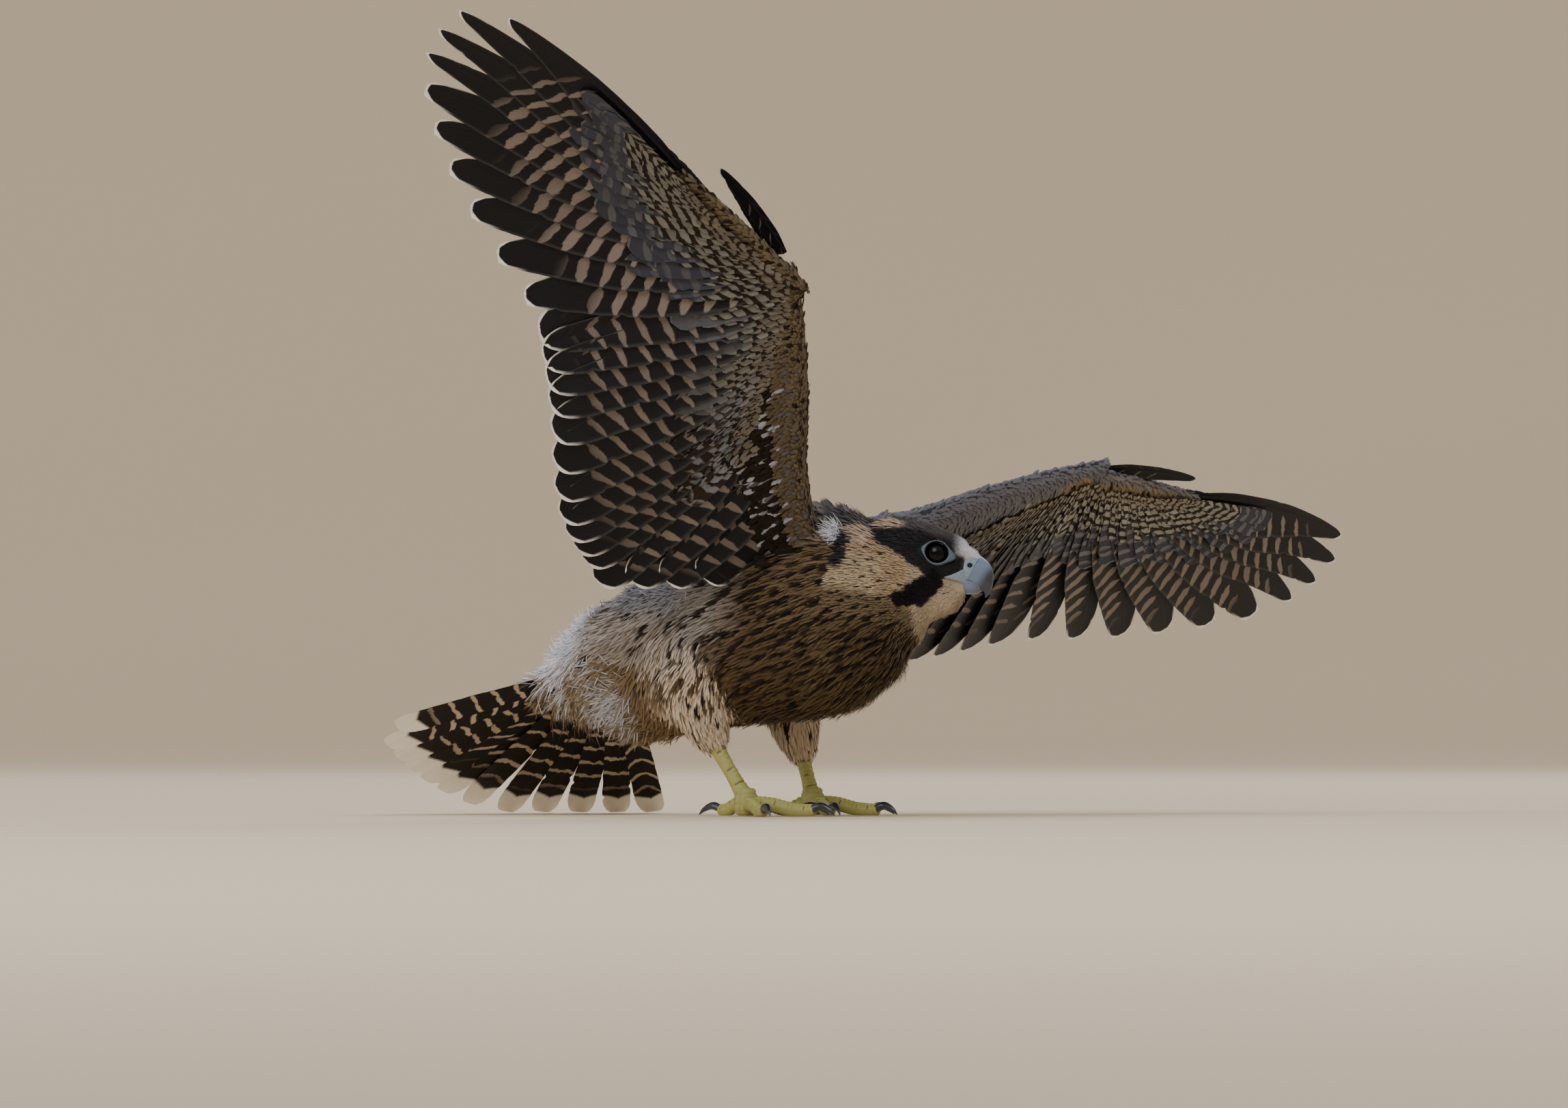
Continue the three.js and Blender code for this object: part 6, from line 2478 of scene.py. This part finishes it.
@dataclass(frozen=True)
class Scutes:
    """The horny plates on the toes and the lower leg: copies of one flat oval, set out by nodes."""

    name: str
    segments: int = 14
    rings: int = 8
    vary: float = 0.07
    seed: int = 4

    def _tree(self, finish: bpy.types.Material) -> tuple:
        """Builds the node tree.

        Args:
            finish: The plates' finish.

        Returns:
            The tree, and its inputs by name.
        """
        tree = bpy.data.node_groups.new(f"{self.name}_tree", "GeometryNodeTree")
        face, new = tree.interface, tree.nodes.new
        face.new_socket("Roots", in_out="INPUT", socket_type="NodeSocketGeometry")
        kinds = {"Segments": "Int", "Rings": "Int", "Vary": "Float", "Seed": "Int"}
        inputs = {name: face.new_socket(name, in_out="INPUT", socket_type=f"NodeSocket{kind}")
                  for name, kind in kinds.items()}
        face.new_socket("Plates", in_out="OUTPUT", socket_type="NodeSocketGeometry")
        start, end = new("NodeGroupInput"), new("NodeGroupOutput")
        dots, plate = new("GeometryNodeMeshToPoints"), new("GeometryNodeMeshUVSphere")
        plate.inputs["Radius"].default_value = 1.0
        turn, size = self._noted(tree, "turn"), self._noted(tree, "size")
        chance = new("FunctionNodeRandomValue")
        chance.data_type = "FLOAT"
        spread, less, scale = new("ShaderNodeMath"), new("ShaderNodeMath"), new("ShaderNodeVectorMath")
        spread.operation, less.operation, scale.operation = "ADD", "SUBTRACT", "SCALE"
        spread.inputs[1].default_value = 1.0
        less.inputs[0].default_value = 0.0
        euler, place = new("FunctionNodeEulerToRotation"), new("GeometryNodeInstanceOnPoints")
        real, paint = new("GeometryNodeRealizeInstances"), new("GeometryNodeSetMaterial")
        paint.inputs["Material"].default_value = finish
        low, high = [s for s in chance.inputs if s.name in ("Min", "Max") and s.type == "VALUE"]
        drawn = next(s for s in chance.outputs if s.type == "VALUE")
        for source, target in (
            (start.outputs["Roots"], dots.inputs["Mesh"]),
            (start.outputs["Segments"], plate.inputs["Segments"]),
            (start.outputs["Rings"], plate.inputs["Rings"]),
            (start.outputs["Vary"], less.inputs[1]),
            (less.outputs[0], low),
            (start.outputs["Vary"], high),
            (start.outputs["Seed"], chance.inputs["Seed"]),
            (drawn, spread.inputs[0]),
            (size, scale.inputs[0]),
            (spread.outputs[0], scale.inputs["Scale"]),
            (turn, euler.inputs[0]),
            (dots.outputs["Points"], place.inputs["Points"]),
            (plate.outputs["Mesh"], place.inputs["Instance"]),
            (euler.outputs[0], place.inputs["Rotation"]),
            (scale.outputs["Vector"], place.inputs["Scale"]),
            (place.outputs["Instances"], real.inputs["Geometry"]),
            (real.outputs["Geometry"], paint.inputs["Geometry"]),
            (paint.outputs["Geometry"], end.inputs["Plates"]),
        ):
            tree.links.new(source, target)
        return tree, inputs

    @staticmethod
    def _noted(tree: bpy.types.NodeTree, name: str) -> bpy.types.NodeSocket:
        """The output of a node that reads a vector kept with each root."""
        node = tree.nodes.new("GeometryNodeInputNamedAttribute")
        node.data_type = "FLOAT_VECTOR"
        node.inputs["Name"].default_value = name
        return node.outputs["Attribute"]

    def make(self, places: Array, frames: Array, sizes: Array, finish: bpy.types.Material) -> None:
        """Sets out the plates.

        Args:
            places: Their middles, in the bird's frame.
            frames: For each, its long direction, the one across it and the one out of it, as rows.
            sizes: Half the length, half the width and half the thickness of each.
            finish: Their finish.
        """
        roots = bpy.data.meshes.new(f"{self.name}_roots")
        roots.from_pydata(to_row(places).tolist(), [], [])
        paint_points(roots, "turn", np.array([Matrix(f.T.tolist()).to_euler() for f in frames]))
        paint_points(roots, "size", sizes * MM)
        holder = link(f"{self.name}_holder", roots)
        live = holder.modifiers.new("set_out", "NODES")
        live.node_group, inputs = self._tree(finish)
        for name, socket in inputs.items():
            live[socket.identifier] = getattr(self, name.lower())
        piece = link(self.name, settled(holder, self.name))
        paint_points(piece.data, "ground", np.tile(SCALE_SKIN * 1.15, (len(piece.data.vertices), 1)))
        hand_in(piece, "leg_scales")


@dataclass(frozen=True)
class Leg:
    """The bare lower leg with its toes and claws."""

    side: Side
    ankle: tuple
    foot: tuple
    inner: int
    shank: float = 3.6
    plate_gap: float = 2.7
    scute_gap: float = 2.6
    pad: tuple = ((0, 3.6), (0.5, 4.6), (1.4, 5.6), (4, 6.3), (7, 6.2), (12, 5.6), (14.6, 4.2))

    @property
    def middle_line(self) -> list:
        """The middle line of the lower leg, from inside the thigh down to the foot."""
        start, ankle = np.array(self.foot, dtype=float), np.array(self.ankle, dtype=float)
        return [ankle + (ankle - start) * 0.15, mix(ankle, start, 0.5), start]

    @staticmethod
    def _limb(points: list, radii: list, count: int, steps: int) -> tuple:
        """A round limb along a curve.

        Args:
            points: The curve's points.
            radii: Its radius at equal steps.
            count: Points to each ring.
            steps: Rings along it, less one.

        Returns:
            The rings, and for each point how far along it is.
        """
        path, sizes = Spline(points), Spline([(r, 0.0) for r in radii])
        rings = []
        for t in (k / steps for k in range(steps + 1)):
            forward = path.tangent(t)
            level = LEFTWARD if abs(forward[2]) > 0.8 else np.cross(UPWARD, forward)
            sideways = square_to(level, forward)
            upwards = unit(np.cross(forward, sideways))
            rings.append(oval(path.at(t), sideways, upwards, (float(sizes.at(t)[0]),) * 3, count))
        return rings, np.repeat([k / steps for k in range(steps + 1)], count)

    def _direction(self, toe: Toe) -> Array:
        """The way a toe points."""
        return turned(FORWARD, UPWARD, self.inner * toe.bearing)

    @staticmethod
    def _scaled(rings: list, shares: Array, scutes: float) -> tuple:
        """Swells each scute between its seams and colours the seams.

        Args:
            rings: The limb's rings.
            shares: How far along it each point is.
            scutes: How many scutes it has along it.

        Returns:
            The points with their faces, and the points' colours.
        """
        count = len(rings[0])
        turn = np.tile(turns(count), len(rings))
        top = np.sin(turn)
        cross = np.abs(np.sin(math.pi * shares * scutes)) ** 0.5
        beads = np.abs(np.sin(math.pi * shares * scutes * 1.6)) * np.abs(np.cos(turn * 5))
        height = np.where(top > 0.1, cross, 0.4 + 0.6 * beads)
        points, faces = loft(rings)
        middle = np.repeat([ring.mean(axis=0) for ring in rings], count, axis=0)
        points = middle + (points - middle) * (1 + 0.15 * (height - 0.6))[:, None]
        points[:, 2] = np.maximum(points[:, 2], FLOOR_GAP)
        seam = smooth(0.55, 0.1, height)[:, None]
        return (points, faces), SCALE_SKIN * (1 - seam) + SCALE_SEAM * seam

    def build(self, scales: bpy.types.Material, horn: bpy.types.Material) -> None:
        """Makes the lower leg, the foot and the claws.

        Args:
            scales: The finish of the skin and its plates.
            horn: The finish of the claws.
        """
        word = self.side.word
        radii = [self.shank * share for share in (1.1, 1.05, 0.98, 1.1, 1.35)]
        skin, ground = self._scaled(*self._limb(self.middle_line, radii, 28, 44), 12)
        painted_piece(f"shank_{word}", skin, scales, ground, "leg_scales", f"tarsus_{word}")
        pad, rings = Spline([(*p, 0) for p in self.pad]), []
        for height, radius, _ in (pad.at(k / RING) for k in range(RING + 1)):
            rings.append(oval(vec(*self.foot[:2], height), FORWARD, LEFTWARD, (radius,) * 3, 28))
        parts = [self._toe(toe) for toe in TOES]
        parts.append(self._scaled(rings, np.repeat(np.linspace(0, 1, RING + 1), 28), 6))
        skins, grounds = zip(*parts)
        ground = np.concatenate(grounds)
        painted_piece(f"toes_{word}", joined(skins), scales, ground, "leg_scales", f"foot_{word}")
        for toe in TOES:
            self._claw(toe, horn)
        self._plates(scales)

    def _run(self, toe: Toe) -> list:
        """The middle line of a toe."""
        base, way = vec(*self.foot[:2], 0), self._direction(toe) * toe.length
        return [base + way * share + UPWARD * height for share, height in
                ((0, 6), (0.35, toe.radius + 2.4), (0.7, toe.radius - 0.4), (1, toe.radius - 0.9))]

    def _plates(self, finish: bpy.types.Material) -> None:
        """Plates in a row along each toe and down the front of the lower leg.

        Args:
            finish: Their finish.
        """
        rows = [(Spline(self._run(toe)), toe.radius * 1.02, 0.97, UPWARD) for toe in TOES]
        rows.append((Spline(self.middle_line), self.shank, 0.9, unit(vec(1, 0, 0.6))))
        first = 0.16
        places, frames, sizes = [], [], []
        for path, radius, last, out in rows:
            run = np.linalg.norm(path.at(last) - path.at(first))
            count = round(run / self.plate_gap)
            for k in range(count):
                t = first + (last - first) * (k + 0.5) / count
                along = unit(path.tangent(t))
                normal = square_to(out, along)
                thin = radius * (1.0 - 0.16 * t)
                places.append(path.at(t) + normal * thin * 0.8)
                frames.append(np.stack([along, np.cross(normal, along), normal]))
                sizes.append((run / count * 0.62, thin * 0.74, thin * 0.36))
        Scutes(f"scutes_{self.side.word}").make(np.array(places), np.array(frames), np.array(sizes), finish)

    def _toe(self, toe: Toe) -> tuple:
        """One toe with scutes on top and pads below."""
        radii = [toe.radius * share for share in (1.1, 1.04, 0.98, 1.0, 0.74)]
        return self._scaled(*self._limb(self._run(toe), radii, RING, 60), toe.length / self.scute_gap)

    def _claw(self, toe: Toe, horn: bpy.types.Material) -> None:
        """One curved claw.

        Args:
            toe: The toe that it stands on.
            horn: Its finish.
        """
        way = self._direction(toe)
        spots = ((-1.5, toe.radius), (toe.claw * 0.3, toe.radius + 1.6), (toe.claw * 0.65, toe.radius - 0.6),
                 (toe.claw * 0.82, 0.5))
        run = [vec(*self.foot[:2], height) + way * (toe.length + past) for past, height in spots]
        rings, shares = self._limb(run, [2.2, 2.2, 1.6, 0.95, 0.3], 20, 28)
        points, faces = loft(rings)
        points[:, 2] = np.maximum(points[:, 2], FLOOR_GAP)
        name = f"{toe.name}_{self.side.word}"
        ground = CLAW * (1 + smooth(0.2, 0.0, shares)[:, None])
        painted_piece(f"talon_{name}", (points, faces), horn, ground, "claw_horn", f"claw_{name}")


LEGS = (
    Leg(Side.RIGHT, ankle=(-32, -13, 38), foot=(-13, -11.5, 9), inner=1),
    Leg(Side.LEFT, ankle=(-15, 46, 32), foot=(-7, 44, 9), inner=-1),
)


# Studio


@dataclass(frozen=True)
class Studio:
    """A plain pale floor, soft light and the camera of the photograph, in metres."""

    camera_place: tuple = (3.2832, -5.0190, 0.0600)
    camera_target: tuple = (0.0154, 0.0131, 0.1379)
    lens: float = 261.35
    sensor: float = 36.0
    floor_level: float = -0.0004
    flat_radius: float = 9.0
    rim_radius: float = 6.0
    rim_height: float = 9.0
    floor_colour: tuple = (0.90, 0.76, 0.57)
    room_colour: tuple = (0.77, 0.78, 0.81, 1)
    lamp_colour: tuple = (0.91, 0.96, 1.0)
    lamp_target: tuple = (0, 0.05, 0.15)
    lamps: tuple = (
        ("key", (1.4, -2.6, 2.8), 2.0, 54), ("fill", (-2.2, -2.6, 0.8), 2.0, 24),
        ("back", (-0.8, 2.8, 2.6), 1.8, 34),
    )

    def build(self) -> None:
        """Sets up the stage."""
        self._floor()
        camera = bpy.data.cameras.new("camera")
        camera.lens, camera.sensor_width, camera.clip_end = self.lens, self.sensor, 200
        bpy.context.scene.camera = self._aimed("camera", camera, self.camera_place, self.camera_target)
        for name, place, size, power in self.lamps:
            lamp = bpy.data.lights.new(name, "AREA")
            lamp.energy, lamp.size, lamp.color = power, size, self.lamp_colour
            self._aimed(name, lamp, place, self.lamp_target)
        world = bpy.data.worlds.new("room")
        world.use_nodes = True
        background = world.node_tree.nodes["Background"]
        background.inputs["Color"].default_value = self.room_colour
        background.inputs["Strength"].default_value = 0.8
        bpy.context.scene.world = world

    def _floor(self) -> None:
        """The floor, which rises smoothly to a rim far behind the bird."""
        turn, far = turns(64), self.flat_radius
        rise = [(far, 0.0)]
        rise += [(far + self.rim_radius * math.sin(a), self.rim_radius * (1 - math.cos(a)))
                 for a in np.linspace(0.1, math.pi / 2, 12)]
        rise.append((far + self.rim_radius, self.rim_height))
        around = np.stack([np.cos(turn), np.sin(turn), np.zeros(64)], axis=1)
        points, faces = loft([r * around + UPWARD * (h + self.floor_level) for r, h in rise])
        mesh = bpy.data.meshes.new("floor")
        mesh.from_pydata(points.tolist(), [], [face[::-1] for face in faces[:-1]])
        mesh.materials.append(StageFinish("floor_paper", self.floor_colour).make())
        link("floor", mesh)

    @staticmethod
    def _aimed(name: str, data: bpy.types.ID, place: tuple, target: tuple) -> bpy.types.Object:
        """A camera or lamp that looks from a place at a target."""
        holder = bpy.data.objects.new(name, data)
        holder.location = place
        holder.rotation_euler = (Vector(target) - Vector(place)).to_track_quat("-Z", "Y").to_euler()
        bpy.context.scene.collection.objects.link(holder)
        return holder


def main() -> None:
    """Builds the bird and its studio, piece by piece."""
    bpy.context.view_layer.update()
    rng = np.random.default_rng(SEED)
    guides = Guides()
    markings = Markings(rng)
    log.info("guides: %d places", len(guides.places))

    skin = Skin(guides, markings, rng)
    skin.mesh.materials.append(PaintedFinish("bare_skin_under_coat", 0.85, 900.0).make())
    hand_in(skin.piece, "plumage", "rump", "torso", "neck", "head", "thigh_left", "thigh_right")
    Coat(skin, rng).build(FeatherFinish().make())

    flight = FlightFinish("flight_vane", tip=0.008, fringe=0.75, end=0.06, seam=0.03).make()
    covert = FlightFinish("covert_vane", tip=0.03, fringe=0.35, shine=0.65, oval=0.45, phase=0.4).make()
    for wing in WINGS:
        feathers = WingFeathers(wing, np.random.default_rng(SEED + wing.side.value))
        feathers.flights(flight)
        feathers.coverts(covert)
    Tail().build(FlightFinish("tail_vane", tip=0.1, wedge=0.035, fringe=0.35, oval=0.3).make(), rng)

    bare = PaintedFinish("bare_skin", 0.42, 1500.0, vary=0.2, coat=0.15).make()
    horn = PaintedFinish("horn", 0.28, 700.0, vary=0.25, coat=0.4).make()
    Bill().build(horn, bare)
    for eye in EYES:
        middle = to_row(eye.beside(0, 0, -eye.inset))
        gaze = unit(eye.beside(0, 0, 1) - eye.beside(0, 0, 0))
        finish = EyeFinish(f"eye_{eye.side.word}_wet", tuple(middle), tuple(gaze)).make()
        eye.ball(finish)
        eye.lids(bare)
    scales = PaintedFinish("leg_scale", 0.5, 1800.0, vary=0.3, depth=0.0002).make()
    claw = PaintedFinish("claw_horn", 0.22, 900.0, vary=0.3, coat=0.5).make()
    for leg in LEGS:
        leg.build(scales, claw)
    Studio().build()


if __name__ == "__main__":
    main()
